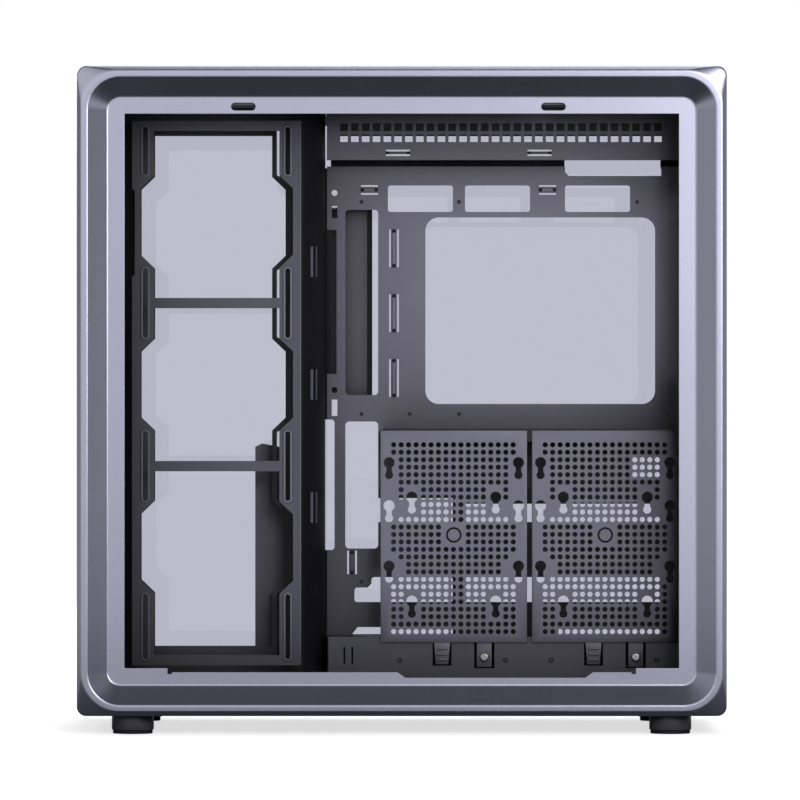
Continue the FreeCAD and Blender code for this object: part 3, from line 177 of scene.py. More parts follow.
def studio_world():
    world = bpy.data.worlds.new("soft_studio")
    world.use_nodes = True
    tree = world.node_tree
    tree.nodes.clear()
    walls = wall_gradient(tree)
    path = add_node(tree, "ShaderNodeLightPath")
    seen = math_node(tree, "MAXIMUM")
    level = add_node(tree, "ShaderNodeMapRange", To_Min=DIFFUSE_SHARE)
    strength = math_node(tree, "MULTIPLY")
    light = add_node(tree, "ShaderNodeBackground", Color=LIGHT_TINT)
    white = add_node(tree, "ShaderNodeBackground", Color=(1, 1, 1, 1), Strength=1.0)
    output = add_node(tree, "ShaderNodeOutputWorld")
    join(tree, path, "Is Glossy Ray", level, "Value")
    join(tree, walls, "Value", strength, 0)
    join(tree, level, "Result", strength, 1)
    join(tree, strength, "Value", light, "Strength")
    join(tree, path, "Is Camera Ray", seen, 0)
    join(tree, path, "Is Transmission Ray", seen, 1)
    join(tree, split_rays(tree, seen, "Value", light, white), "Shader", output, "Surface")
    return world


bpy.context.scene.world = studio_world()
print("studio walls:", WALL_BRIGHTNESS, "share for diffuse rays:", DIFFUSE_SHARE)

# %% [markdown]
# The lamps are soft boxes. The key lamp is a small tall box in front and to the right, which throws
# the soft dark shadows on the left of the drive plates and under the upper flange. It is hidden from
# metal and glass. A wide, weak box nearer to the case brightens the right side of the satin frame.
# Two lamps behind and above keep the other sides of the case readable.

# %% Lamps
LAMP_TARGET = Vector((0.0, 0.0, 0.25))


def soft_lamp(name, place, width, height, watts, mirrored=True):
    data = bpy.data.lights.new(name, "AREA")
    data.shape = "RECTANGLE"
    data.size = width
    data.size_y = height
    data.energy = watts
    lamp = bpy.data.objects.new(name, data)
    lamp.location = place
    lamp.rotation_euler = (LAMP_TARGET - Vector(place)).to_track_quat("-Z", "Y").to_euler()
    lamp.visible_glossy = mirrored
    lamp.visible_transmission = mirrored
    bpy.context.scene.collection.objects.link(lamp)
    return lamp


lamps = [
    soft_lamp("key_lamp", (0.48, -2.90, 0.68), width=0.45, height=0.6, watts=54.0, mirrored=False),
    soft_lamp("frame_lamp", (0.80, -1.40, 0.74), width=1.0, height=1.0, watts=9.0),
    soft_lamp("rear_lamp", (-1.2, 2.6, 1.2), width=1.4, height=1.4, watts=30.0),
    soft_lamp("top_lamp", (0.3, 1.3, 2.6), width=1.4, height=1.4, watts=14.0),
]
print("lamps:", [(lamp.name, lamp.data.energy) for lamp in lamps])

# %% [markdown]
# The floor is pale and has no edge in the picture. The camera sees a white floor whose diffuse part
# catches the shadow under the case. A glow of its own lifts it to white, and is lower under the case: a
# painted shade in the outline of the case, over which the real shadow of the diffuse part shows. Rays
# through the glass see plain white. Rays off the metal see a dark grey floor close to the case, a painted
# shadow of the case, and a glow further out that only they see, a painted reflection of a lit floor. All
# other rays meet a plain dark grey floor, so that the case isn't lit from below.

# %% Floor
FLOOR_SIZE = 30.0
FLOOR_SHADE = (0.82, 0.82, 0.83, 1.0)
FLOOR_HIDDEN_SHADE = (0.15, 0.15, 0.16, 1.0)
GLOW_UNDER_CASE = 0.69
GLOW_FADE = 0.06
FAR_START = 0.35
FAR_END = 1.1
FAR_GLOW = 0.5


def past_the_case(tree):
    """Distance of a point on the floor from the outline of the case, negative under the case."""
    place = add_node(tree, "ShaderNodeTexCoord")
    far = vector_node(tree, "ABSOLUTE")
    past = vector_node(tree, "SUBTRACT", (case_size.x / 2, case_size.y / 2, 0))
    apart = add_node(tree, "ShaderNodeSeparateXYZ")
    most = math_node(tree, "MAXIMUM")
    join(tree, place, "Object", far, 0)
    join(tree, far, "Vector", past, 0)
    join(tree, past, "Vector", apart, "Vector")
    join(tree, apart, "X", most, 0)
    join(tree, apart, "Y", most, 1)
    return most


def glow_level(tree, distance):
    """Low under the case, full a little way outside it: painted shade in the outline of the case."""
    level = add_node(tree, "ShaderNodeMapRange", From_Max=GLOW_FADE, To_Min=GLOW_UNDER_CASE)
    join(tree, distance, "Value", level, "Value")
    return level


def painted_reflection_level(tree, distance):
    """For rays off the metal: none near the case, a painted shadow, and pale further out, a painted
    reflection of a lit floor.
    """
    level = add_node(tree, "ShaderNodeMapRange", From_Min=FAR_START, From_Max=FAR_END, To_Max=FAR_GLOW)
    join(tree, distance, "Value", level, "Value")
    return level


def floor_material():
    material = bpy.data.materials.new("studio_floor")
    material.use_nodes = True
    tree = material.node_tree
    tree.nodes.clear()
    distance = past_the_case(tree)
    path = add_node(tree, "ShaderNodeLightPath")
    pale = add_node(tree, "ShaderNodeBsdfDiffuse", Color=FLOOR_SHADE)
    # The glow is lower under the case: painted shade in its outline, over the real shadow of the diffuse
    # part.
    glow = add_node(tree, "ShaderNodeEmission", Color=(1, 1, 1, 1))
    join(tree, glow_level(tree, distance), "Result", glow, "Strength")
    lit = add_node(tree, "ShaderNodeAddShader")
    join(tree, pale, 0, lit, 0)
    join(tree, glow, 0, lit, 1)
    grey = add_node(tree, "ShaderNodeBsdfDiffuse", Color=FLOOR_HIDDEN_SHADE)
    # Only rays off the metal see the next glow: dark near the case, a painted shadow, and pale further
    # out, a painted reflection of a lit floor.
    mirrored = math_node(tree, "MULTIPLY")
    join(tree, painted_reflection_level(tree, distance), "Result", mirrored, 0)
    join(tree, path, "Is Glossy Ray", mirrored, 1)
    shine = add_node(tree, "ShaderNodeEmission", Color=(1, 1, 1, 1))
    join(tree, mirrored, "Value", shine, "Strength")
    hidden = add_node(tree, "ShaderNodeAddShader")
    join(tree, grey, 0, hidden, 0)
    join(tree, shine, 0, hidden, 1)
    white = add_node(tree, "ShaderNodeEmission", Color=(1, 1, 1, 1), Strength=1.0)
    behind_glass = split_rays(tree, path, "Is Transmission Ray", hidden, white)
    mix = split_rays(tree, path, "Is Camera Ray", behind_glass, lit)
    output = add_node(tree, "ShaderNodeOutputMaterial")
    join(tree, mix, "Shader", output, "Surface")
    return material


bpy.ops.object.select_all(action="DESELECT")
bpy.ops.mesh.primitive_plane_add(size=FLOOR_SIZE, location=(0, 0, 0))
floor = bpy.context.active_object
floor.name = "floor"
floor.data.materials.append(floor_material())
print("floor:", FLOOR_SIZE, "m square")

# %% [markdown]
# Two small effects are shared by most finishes. Fine grain is the tiny mottling of powder coat,
# moulded plastic and bead-blasted metal: one noise gives a shade to multiply the colour by, and a
# height for a bump. Wipe marks are soft, wide patches where a surface is a little glossier, as
# after handling. Both are node groups with named sockets, so that each finish sets its own values.

# %% Shared effects
def effect_group(name, inputs, outputs):
    group = bpy.data.node_groups.new(name, "ShaderNodeTree")
    for label, value in inputs.items():
        socket = group.interface.new_socket(label, in_out="INPUT", socket_type="NodeSocketFloat")
        socket.default_value = value
    for label in outputs:
        group.interface.new_socket(label, in_out="OUTPUT", socket_type="NodeSocketFloat")
    return group, group.nodes.new("NodeGroupInput"), group.nodes.new("NodeGroupOutput")


def fine_grain_group():
    tree, given, result = effect_group(
        "fine_grain", {"Scale": 900.0, "Contrast": 0.1}, ("Shade", "Height"))
    place = add_node(tree, "ShaderNodeTexCoord")
    noise = add_node(tree, "ShaderNodeTexNoise", Detail=2.0, Roughness=0.6)
    centred = math_node(tree, "SUBTRACT", 0.5)
    scaled = math_node(tree, "MULTIPLY")
    shade = math_node(tree, "ADD", 1.0)
    join(tree, place, "Object", noise, "Vector")
    join(tree, given, "Scale", noise, "Scale")
    join(tree, noise, 0, centred, 0)
    join(tree, centred, 0, scaled, 0)
    join(tree, given, "Contrast", scaled, 1)
    join(tree, scaled, 0, shade, 0)
    join(tree, shade, "Value", result, "Shade")
    join(tree, noise, 0, result, "Height")
    return tree


def wipe_marks_group():
    tree, given, result = effect_group(
        "wipe_marks", {"Scale": 9.0, "Lowest": 0.3, "Highest": 0.4}, ("Roughness",))
    place = add_node(tree, "ShaderNodeTexCoord")
    noise = add_node(tree, "ShaderNodeTexNoise", Detail=3.0, Roughness=0.55)
    spread = add_node(tree, "ShaderNodeMapRange")
    join(tree, place, "Object", noise, "Vector")
    join(tree, given, "Scale", noise, "Scale")
    join(tree, noise, 0, spread, "Value")
    join(tree, given, "Lowest", spread, "To Min")
    join(tree, given, "Highest", spread, "To Max")
    join(tree, spread, "Result", result, "Roughness")
    return tree


fine_grain = fine_grain_group()
wipe_marks = wipe_marks_group()
print("effects:", fine_grain.name, wipe_marks.name)

# %% [markdown]
# Most finishes of the case differ only in colour, metal share, gloss and grain, so one function
# builds them. The grain multiplies the colour and lifts the surface a little, and the wipe marks
# vary the roughness between two values. The powder coat inside the case also darkens in narrow gaps,
# where soft light hardly reaches, by a share of the open sky round each point.

# %% Finishes with grain
RECESS_REACH = 100.0 * MM
RECESS_POWER = 2.0
GRAIN_HEIGHT = 0.02 * MM


def recess_shade(tree):
    """One in the open and less in a narrow gap."""
    open_sky = add_node(tree, "ShaderNodeAmbientOcclusion", {"samples": 8}, Distance=RECESS_REACH)
    shade = math_node(tree, "POWER", RECESS_POWER)
    join(tree, open_sky, "AO", shade, 0)
    return shade


def grained_finish(name, colour, metal, gloss, grains, contrast, bump, shine=0.5, recess=False):
    """Colour, metal share, lowest and highest roughness, grains in a metre, their contrast and bump."""
    material = bpy.data.materials.new(name)
    material.use_nodes = True
    tree = material.node_tree
    surface = tree.nodes["Principled BSDF"]
    surface.inputs["Metallic"].default_value = metal
    surface.inputs["Specular IOR Level"].default_value = shine
    grain = add_node(tree, "ShaderNodeGroup", {"node_tree": fine_grain}, Scale=grains, Contrast=contrast)
    marks = add_node(tree, "ShaderNodeGroup", {"node_tree": wipe_marks}, Lowest=gloss[0], Highest=gloss[1])
    tone = vector_node(tree, "SCALE")
    tone.inputs[0].default_value = colour
    lift = add_node(tree, "ShaderNodeBump", Strength=bump, Distance=GRAIN_HEIGHT)
    join(tree, grain, "Shade", tone, "Scale")
    join(tree, tone, "Vector", surface, "Base Color")
    if recess:
        shaded = vector_node(tree, "SCALE")
        join(tree, tone, "Vector", shaded, 0)
        join(tree, recess_shade(tree), "Value", shaded, "Scale")
        join(tree, shaded, "Vector", surface, "Base Color")
    join(tree, marks, "Roughness", surface, "Roughness")
    join(tree, grain, "Height", lift, "Height")
    join(tree, lift, "Normal", surface, "Normal")
    return material


frame_satin = grained_finish("frame_satin", (0.49, 0.485, 0.61), 1.0, (0.24, 0.30), 2600.0, 0.04, 0.05)
wrap_satin = grained_finish("wrap_satin", (0.44, 0.435, 0.545), 0.7, (0.34, 0.42), 2600.0, 0.05, 0.15)
powder_coat = grained_finish("powder_coat", (0.145, 0.140, 0.184), 0.0, (0.44, 0.54), 1500.0, 0.22, 0.5,
                             recess=True)
# A copy of the powder coat at half its tone: painted shade for the parts in the bracket paint, the fan
# bracket, its wall, the bottom shelf and their trim.
shaded_powder_coat = grained_finish("shaded_powder_coat", (0.074, 0.073, 0.096), 0.0, (0.46, 0.56), 1500.0, 0.22, 0.5,
                              recess=True)
dark_plastic = grained_finish("dark_plastic", (0.006, 0.006, 0.007), 0.0, (0.5, 0.6), 1800.0, 0.15, 0.4,
                              shine=0.15)
foot_gloss = grained_finish("foot_gloss", (0.042, 0.042, 0.046), 0.0, (0.26, 0.34), 1500.0, 0.1, 0.1)
foot_matt = grained_finish("foot_matt", (0.008, 0.008, 0.008), 0.0, (0.75, 0.9), 1200.0, 0.2, 0.5)
zinc_plate = grained_finish("zinc_plate", (0.42, 0.41, 0.40), 1.0, (0.24, 0.34), 900.0, 0.08, 0.1)
black_zinc = grained_finish("black_zinc", (0.012, 0.012, 0.014), 0.4, (0.32, 0.42), 900.0, 0.08, 0.1)
button_satin = grained_finish("button_satin", (0.30, 0.295, 0.37), 0.8, (0.28, 0.34), 2600.0, 0.05, 0.1)
filter_black = grained_finish("filter_black", (0.014, 0.014, 0.015), 0.0, (0.6, 0.7), 1400.0, 0.4, 0.8)
print("finishes:", len(bpy.data.materials))

# %% [markdown]
# The window is tinted safety glass. It has a plain tint, and its smooth surface reflects the
# studio by itself. Through it the white background turns to a cool grey.

# %% Tinted glass
GLASS_TINT = (0.50, 0.495, 0.59, 1.0)
GLASS_IOR = 1.45


def tinted_glass():
    material = bpy.data.materials.new("tinted_glass")
    material.use_nodes = True
    surface = material.node_tree.nodes["Principled BSDF"]
    surface.inputs["Base Color"].default_value = GLASS_TINT
    surface.inputs["Roughness"].default_value = 0.0
    surface.inputs["IOR"].default_value = GLASS_IOR
    surface.inputs["Transmission Weight"].default_value = 1.0
    return material


window_tint = tinted_glass()
print("glass tint:", GLASS_TINT[:3])

# %% [markdown]
# Every solid gets its finish by the material slot that the record gives it, so that the two always agree.
# The slots are few, so one plain dictionary is enough. The wide outer panels are a little more matt than
# the end frames. The hanger between the drive plates takes black zinc in place of the finish of its slot:
# painted shade in the gap above the plates.

# %% Dress the solids
slot_finishes = {
    "frame_paint": frame_satin,
    "steel_paint": powder_coat,
    # The bracket paint is the darker copy of the powder coat: painted shade.
    "bracket_paint": shaded_powder_coat,
    "window_glass": window_tint,
    "filter_mesh": filter_black,
    "dark_screw": black_zinc,
    "bright_steel": zinc_plate,
    "black_plastic": dark_plastic,
    "button_paint": button_satin,
    "foot_plastic": foot_gloss,
    "foot_rubber": foot_matt,
}
node_slots = {part["node"]: part["material_slot"] for part in frame["record"]["subparts"]}


def paint(piece, finish):
    piece.data.materials.clear()
    piece.data.materials.append(finish)


for name, node in solids.items():
    paint(node, slot_finishes[node_slots[name]])
for name in ("top_panel", "bottom_panel", "front_cover"):
    paint(solids[name], wrap_satin)
# Black zinc on the hanger is painted shade, not its own finish.
paint(solids["drive_hanger"], black_zinc)
print("dressed:", len(solids), "solids in", len(slot_finishes), "slots")

# %% [markdown]
# A punched sheet never has a razor edge: paint rounds it, and the round edge catches a thin line of
# light. Three live modifiers do this on the solids without touching their vertices. Weld joins the
# loose triangles, a planar decimate turns them back into whole flat faces, and a bevel rounds
# every edge that is sharper than its angle limit.

# %% Round the sheet edges
SHEET_EDGE = 0.28 * MM
SHARP_ANGLE = math.radians(40)
SLOT_COVERS = 7
sheet_names = ["motherboard_tray", "tray_strip", "top_rail", "fan_bracket", "fan_wall", "cable_column",
               "bottom_shelf", "drive_hanger", "cable_cover", "cover_trim", "card_support", "chassis_top",
               "chassis_base", "front_wall", "rear_panel", "psu_bracket", "top_panel", "bottom_panel",
               "front_cover", "glass_hooks"]
sheet_names += ["slot_cover_" + str(number + 1) for number in range(SLOT_COVERS)]


def round_solid_edges(node):
    weld = node.modifiers.new("join_triangles", "WELD")
    weld.merge_threshold = 0.005 * MM
    flat = node.modifiers.new("whole_faces", "DECIMATE")
    flat.decimate_type = "DISSOLVE"
    flat.angle_limit = math.radians(1.0)
    bevel = node.modifiers.new("painted_edge", "BEVEL")
    bevel.width = SHEET_EDGE
    bevel.segments = 2
    bevel.limit_method = "ANGLE"
    bevel.angle_limit = SHARP_ANGLE


for name in sheet_names:
    round_solid_edges(solids[name])
print("rounded:", len(sheet_names), "sheets")

# %% [markdown]
# New pieces are modelled as by hand, so a few moves come back again and again: clear the selection,
# pick a piece, stretch a cube between two corners, cut one piece with another, and round its edges.
# Each helper leaves the piece at the origin with its place in the mesh, as the solids have it.

# %% Modelling helpers
THIN_EDGE = 0.2
FOLD_EDGE = 0.25
SOFT_EDGE = 0.3
PRESSED_EDGE = 0.5
FLAT_ANGLE = 30
TURNED_ANGLE = 35


def clear_selection():
    if bpy.context.mode != "OBJECT":
        bpy.ops.object.mode_set(mode="OBJECT")
    bpy.ops.object.select_all(action="DESELECT")


def pick(*pieces):
    clear_selection()
    for piece in pieces:
        piece.select_set(True)
    bpy.context.view_layer.objects.active = pieces[-1]


def choose(piece, kind, test):
    """Enter edit mode with only those points, edges or faces selected that pass the test."""
    pick(piece)
    bpy.ops.object.mode_set(mode="EDIT")
    bpy.ops.mesh.select_mode(type=kind)
    bpy.ops.mesh.select_all(action="DESELECT")
    bpy.ops.object.mode_set(mode="OBJECT")
    parts = {"VERT": piece.data.vertices, "EDGE": piece.data.edges, "FACE": piece.data.polygons}[kind]
    for part in parts:
        part.select = test(part)
    bpy.ops.object.mode_set(mode="EDIT")


def edit_all(piece):
    choose(piece, "VERT", lambda point: True)


def edit_done():
    bpy.ops.object.mode_set(mode="OBJECT")


def settle(piece, name):
    pick(piece)
    bpy.ops.object.transform_apply(location=True, rotation=True, scale=True)
    piece.name = name
    return piece


def block(name, low, high):
    """A cube stretched between two corners given in millimetres."""
    clear_selection()
    low, high = Vector(low) * MM, Vector(high) * MM
    bpy.ops.mesh.primitive_cube_add(size=1, location=(low + high) / 2)
    piece = bpy.context.active_object
    piece.scale = high - low
    return settle(piece, name)


def rod(name, place, radius, length, axis, sides):
    """A cylinder centred on a place, all in millimetres."""
    clear_selection()
    turn = {"X": (0, math.radians(90), 0), "Y": (math.radians(90), 0, 0), "Z": (0, 0, 0)}[axis]
    bpy.ops.mesh.primitive_cylinder_add(
        vertices=sides, radius=radius * MM, depth=length * MM, location=Vector(place) * MM, rotation=turn)
    return settle(bpy.context.active_object, name)


def apply_modifier(piece, kind, **settings):
    pick(piece)
    modifier = piece.modifiers.new(kind.lower(), kind)
    for label, value in settings.items():
        setattr(modifier, label, value)
    bpy.ops.object.modifier_apply(modifier=modifier.name)


def cut(piece, cutter):
    apply_modifier(piece, "BOOLEAN", operation="DIFFERENCE", solver="EXACT", object=cutter)
    bpy.data.objects.remove(cutter)


def round_edges(piece, width, segments=2):
    apply_modifier(piece, "BEVEL", width=width * MM, segments=segments, limit_method="ANGLE",
                   angle_limit=SHARP_ANGLE)


def shade_smooth(piece, angle=FLAT_ANGLE):
    pick(piece)
    bpy.ops.object.shade_smooth_by_angle(angle=math.radians(angle))


def gather(name, pieces):
    pick(*pieces)
    if len(pieces) > 1:
        bpy.ops.object.join()
    return settle(bpy.context.active_object, name)


def twin(piece, name, shift):
    """A copy with its own mesh, moved in edit mode so that its place stays in the mesh."""
    pick(piece)
    bpy.ops.object.duplicate()
    copy = bpy.context.active_object
    copy.name = name
    edit_all(copy)
    bpy.ops.transform.translate(value=Vector(shift) * MM)
    edit_done()
    return copy


def hand_over(piece, slot, body, *nodes):
    """Paint a finished piece, hang it on the body that carries it, and hide the solids that it stands for.
    """
    paint(piece, slot_finishes[slot])
    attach(piece, body)
    if nodes:
        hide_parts(*nodes)


def corners_mm(node):
    low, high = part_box(node)
    return Vector(low) / MM, Vector(high) / MM


print("modelling helpers ready")

# %% [markdown]
# The end frame is the face of the case: a deep ring with a raised rim, a sloped band and a flat
# flange round the opening. On the real case it is cast or rolled, and its corners change radius from
# the outside to the opening. Extruding one outline can't do that, so the ring is built from many flat
# outlines: a plane with its four corners bevelled, one for each point of the cross-section, bridged
# to the next. The cross-section's own corners are softened by a short curve, so that the rim catches
# a clean line of light. Its outer edge is a short chamfer, which turns dark along the top.

# %% Cross-section of the end frame
frame_low, frame_high = corners_mm("side_frame_right")
FRAME_DEPTH = frame_high.y - frame_low.y
EDGE_DEPTH = 4.2
RIM_INSET = 3.2
RIM_WIDTH = 4.7
BAND_WIDTH = 14.2
BAND_DEPTH = 12.0
FLANGE_WIDTH = 12.6
FLANGE_SHEET = 1.6
FRAME_WALL = 2.4
OUTER_RADIUS = 6.0
EDGE_RADIUS = 7.0
RIM_RADIUS = 28.0
RIM_END_RADIUS = 24.0
FLANGE_RADIUS = 10.0
OPENING_RADIUS = 0.6
BACK_RADIUS = 12.0
SOFTENING = 1.0
SOFTENING_STEPS = 4


def section_corners():
    """Corners of the section as (inset, depth, outline radius) and how far each is softened."""
    rim_end = RIM_INSET + RIM_WIDTH
    flange = rim_end + BAND_WIDTH
    opening = flange + FLANGE_WIDTH
    back = BAND_DEPTH + FLANGE_SHEET
    return [
        (Vector((0.0, FRAME_DEPTH, OUTER_RADIUS)), 0.0),
        (Vector((0.0, EDGE_DEPTH, EDGE_RADIUS)), 0.8 * SOFTENING),
        (Vector((RIM_INSET, 0.0, RIM_RADIUS)), 0.9 * SOFTENING),
        (Vector((rim_end, 0.0, RIM_END_RADIUS)), 0.9 * SOFTENING),
        (Vector((flange, BAND_DEPTH, FLANGE_RADIUS)), SOFTENING),
        (Vector((opening, BAND_DEPTH, OPENING_RADIUS)), 0.4 * SOFTENING),
        (Vector((opening, back, OPENING_RADIUS)), 0.0),
        (Vector((flange - FRAME_WALL, back, BACK_RADIUS)), 0.0),
        (Vector((RIM_INSET + FRAME_WALL, 2 * FRAME_WALL, RIM_END_RADIUS)), 0.0),
        (Vector((FRAME_WALL, FRAME_DEPTH, OUTER_RADIUS - FRAME_WALL)), 0.0),
    ]


def soft_section():
    corners = section_corners()
    points = []
    for number, (corner, soft) in enumerate(corners):
        if soft == 0.0:
            points.append(corner)
            continue
        before = corners[number - 1][0]
        after = corners[(number + 1) % len(corners)][0]
        start = corner.lerp(before, soft / (before.xy - corner.xy).length)
        end = corner.lerp(after, soft / (after.xy - corner.xy).length)
        for step in range(SOFTENING_STEPS + 1):
            share = step / SOFTENING_STEPS
            points.append(start.lerp(corner, share).lerp(corner.lerp(end, share), share))
    return points


frame_section = soft_section()
print("section points:", len(frame_section))

# %% Outlines bridged into a ring
CORNER_STEPS = 12


def outline(inset, depth, radius):
    """A flat rounded rectangle of edges."""
    clear_selection()
    middle = (frame_low + frame_high) / 2
    bpy.ops.mesh.primitive_plane_add(
        size=1, location=Vector((middle.x, frame_low.y + depth, middle.z)) * MM,
        rotation=(math.radians(90), 0, 0))
    ring = bpy.context.active_object
    width = frame_high.x - frame_low.x - 2 * inset
    height = frame_high.z - frame_low.z - 2 * inset
    ring.scale = (width * MM, height * MM, 1)
    settle(ring, "outline")
    edit_all(ring)
    bpy.ops.mesh.bevel(offset=radius * MM, offset_type="OFFSET", segments=CORNER_STEPS, affect="VERTICES")
    bpy.ops.mesh.delete(type="ONLY_FACE")
    edit_done()
    return ring


def strip(first, second):
    """The band of faces between two neighbouring outlines."""
    band = gather("strip", [outline(*first), outline(*second)])
    edit_all(band)
    bpy.ops.mesh.bridge_edge_loops()
    edit_done()
    return band


strips = []
for number, point in enumerate(frame_section):
    strips.append(strip(point, frame_section[(number + 1) % len(frame_section)]))
end_frame = gather("end_frame_right", strips)
edit_all(end_frame)
bpy.ops.mesh.remove_doubles(threshold=0.005 * MM)
bpy.ops.mesh.normals_make_consistent(inside=False)
edit_done()
print("end frame faces:", len(end_frame.data.polygons))

# %% [markdown]
# The lower edge of the opening is cut back for the cables: a long shallow step with a relief notch at
# each end, and a deeper stretch with sloped ends under the drive plates. Two round-ended slots in
# the upper flange take the hooks of the side panel. Plain cutters are shaped and taken away.

# %% Cut-outs of the flange
LIP_HALF = 171.0
LIP_DROP = 3.0
RELIEF_WIDTH = 3.2
RELIEF_DROP = 1.3
DEEP_START = -3.0
DEEP_LENGTH = 131.5
DEEP_DROP = 4.0
DEEP_RAMP = 5.6
HOOK_PLACES = (-115.6, 110.8)
HOOK_RISE = 5.3
HOOK_LENGTH = 18.0
HOOK_HEIGHT = 5.8
FLANGE_INSET = RIM_INSET + RIM_WIDTH + BAND_WIDTH + FLANGE_WIDTH
sill = frame_low.z + FLANGE_INSET
CUT_PAST = 1.0
END_MARGIN = 0.05
flange_front = frame_low.y + BAND_DEPTH - CUT_PAST
flange_back = frame_low.y + BAND_DEPTH + FLANGE_SHEET + CUT_PAST


def flange_cutter(name, x0, x1, z0, z1):
    return block(name, (x0, flange_front, z0), (x1, flange_back, z1))


def slope_ends(cutter, ramp):
    """Draw the lower edges of a cutter together, so that its ends slope."""
    lowest = min(point.co.z for point in cutter.data.vertices) + 0.1 * MM
    middle = sum(point.co.x for point in cutter.data.vertices) / len(cutter.data.vertices)
    for side in (-1, 1):
        choose(cutter, "VERT", lambda point: point.co.z < lowest and (point.co.x - middle) * side > 0)
        bpy.ops.transform.translate(value=(-side * ramp * MM, 0, 0))
        edit_done()


def round_ends(cutter, radius):
    """Round the four edges of a cutter that run through the sheet."""
    points = cutter.data.vertices

    def runs_through(edge):
        start, end = [points[index].co.y for index in edge.vertices]
        return abs(start - end) > MM

    choose(cutter, "EDGE", runs_through)
    bpy.ops.mesh.bevel(offset=(radius - END_MARGIN) * MM, segments=8, affect="EDGES")
    edit_done()


cut(end_frame, flange_cutter("lip_cutter", -LIP_HALF, LIP_HALF, sill - LIP_DROP, sill + LIP_DROP))
for side in (-1, 1):
    ends = sorted((side * LIP_HALF, side * (LIP_HALF - RELIEF_WIDTH)))
    cut(end_frame, flange_cutter("relief_cutter", *ends, sill - LIP_DROP - RELIEF_DROP, sill))
deep_cutter = flange_cutter("deep_cutter", DEEP_START, DEEP_START + DEEP_LENGTH + 2 * DEEP_RAMP,
                            sill - LIP_DROP - DEEP_DROP, sill - LIP_DROP + 0.01)
slope_ends(deep_cutter, DEEP_RAMP)
cut(end_frame, deep_cutter)
hook_z = frame_high.z - FLANGE_INSET + HOOK_RISE
for place in HOOK_PLACES:
    slot = flange_cutter("hook_cutter", place - HOOK_LENGTH / 2, place + HOOK_LENGTH / 2,
                         hook_z - HOOK_HEIGHT / 2, hook_z + HOOK_HEIGHT / 2)
    round_ends(slot, HOOK_HEIGHT / 2)
    cut(end_frame, slot)
shade_smooth(end_frame)
print("end frame faces after the cuts:", len(end_frame.data.polygons))

# %% [markdown]
# The far end frame is the same piece turned round, so a copy is mirrored and its normals are put right.
# On both, weighted normals let the large flat faces decide the shading, and only the soft corners curve.

# %% The second end frame, mirrored
far_frame = twin(end_frame, "end_frame_left", (0, 0, 0))
edit_all(far_frame)
bpy.ops.transform.resize(value=(1, -1, 1), center_override=(0, 0, 0))
bpy.ops.mesh.normals_make_consistent(inside=False)
edit_done()
for piece in (end_frame, far_frame):
    apply_modifier(piece, "WEIGHTED_NORMAL", keep_sharp=True)
hand_over(end_frame, "frame_paint", "chassis", "side_frame_right")
hand_over(far_frame, "frame_paint", "chassis", "side_frame_left")
print("end frames:", end_frame.name, far_frame.name)

# %% [markdown]
# A drive plate is a stamped sheet with a field of small round holes, ten keyholes for drive screws
# and one large hole round a pin. The holes keep clear of the keyholes, so whole groups are left
# out. One thin rod is arrayed into the full field, the rods that the real plate leaves out are
# deleted, and the rest cut the sheet in one go.

# %% Hole field of a drive plate
plate_low, plate_high = corners_mm("drive_plate_front")
PLATE_SHEET = 1.2
PLATE_RISE = 18.0
ROD_LENGTH = 6.0
HOLE_RADIUS = 1.95
HOLE_SIDES = 12
HOLE_PITCH = 5.5
HOLE_COLUMNS = 17
HOLE_ROWS = 26
FIRST_COLUMN = 9.7
FIRST_ROW = 10.5
plate_foot = plate_low.z + PLATE_RISE
plate_middle = (plate_low.x + plate_high.x) / 2


def columns_left_out(row):
    """Columns without a hole, counted from the plate's middle, so that both sides match."""
    ends = {2: 1, 3: 1, 4: 1, 5: 1, 6: 1, 7: 1, 8: 4, 9: 4, 10: 1, 15: 1, 16: 2, 17: 2, 18: 1}.get(row, 0)
    left_out = {8 - place for place in range(ends)}
    if row in (6, 7, 20, 21, 22, 23):
        left_out |= {5, 6}
    if row in (11, 12, 13):
        left_out |= {0, 1}
    return left_out


def hole_field():
    field = rod("hole_field", (plate_low.x + FIRST_COLUMN, plate_low.y, plate_high.z - FIRST_ROW),
                HOLE_RADIUS, ROD_LENGTH, "Y", HOLE_SIDES)
    apply_modifier(field, "ARRAY", count=HOLE_COLUMNS, use_relative_offset=False, use_constant_offset=True,
                   constant_offset_displace=(HOLE_PITCH * MM, 0, 0))
    apply_modifier(field, "ARRAY", count=HOLE_ROWS, use_relative_offset=False, use_constant_offset=True,
                   constant_offset_displace=(0, 0, -HOLE_PITCH * MM))

    def left_out(point):
        column = round((point.co.x / MM - plate_low.x - FIRST_COLUMN) / HOLE_PITCH)
        row = round((plate_high.z - FIRST_ROW - point.co.z / MM) / HOLE_PITCH)
        return abs(column - HOLE_COLUMNS // 2) in columns_left_out(row)

    choose(field, "VERT", left_out)
    bpy.ops.mesh.delete(type="VERT")
    edit_done()
    return field


plate = block("perforated_plate_front", (plate_low.x, plate_low.y, plate_foot),
              (plate_high.x, plate_low.y + PLATE_SHEET, plate_high.z))
round_edges(plate, PRESSED_EDGE)
field = hole_field()
print("holes in a plate:", len(field.data.vertices) // (2 * HOLE_SIDES))
cut(plate, field)

# %% Keyholes of a drive plate
KEY_RADIUS = 4.1
KEY_NECK = 2.0
KEY_FOOT = 3.0
KEY_DROP = 9.2
EDGE_KEY_SPAN = 95.25
EDGE_KEY_DROPS = (23.6, 55.35, 99.8)
INNER_KEY_SPAN = 61.72
INNER_KEY_DROPS = (49.0, 125.6)
PIN_DROP = 76.9
PIN_HOLE = 5.8


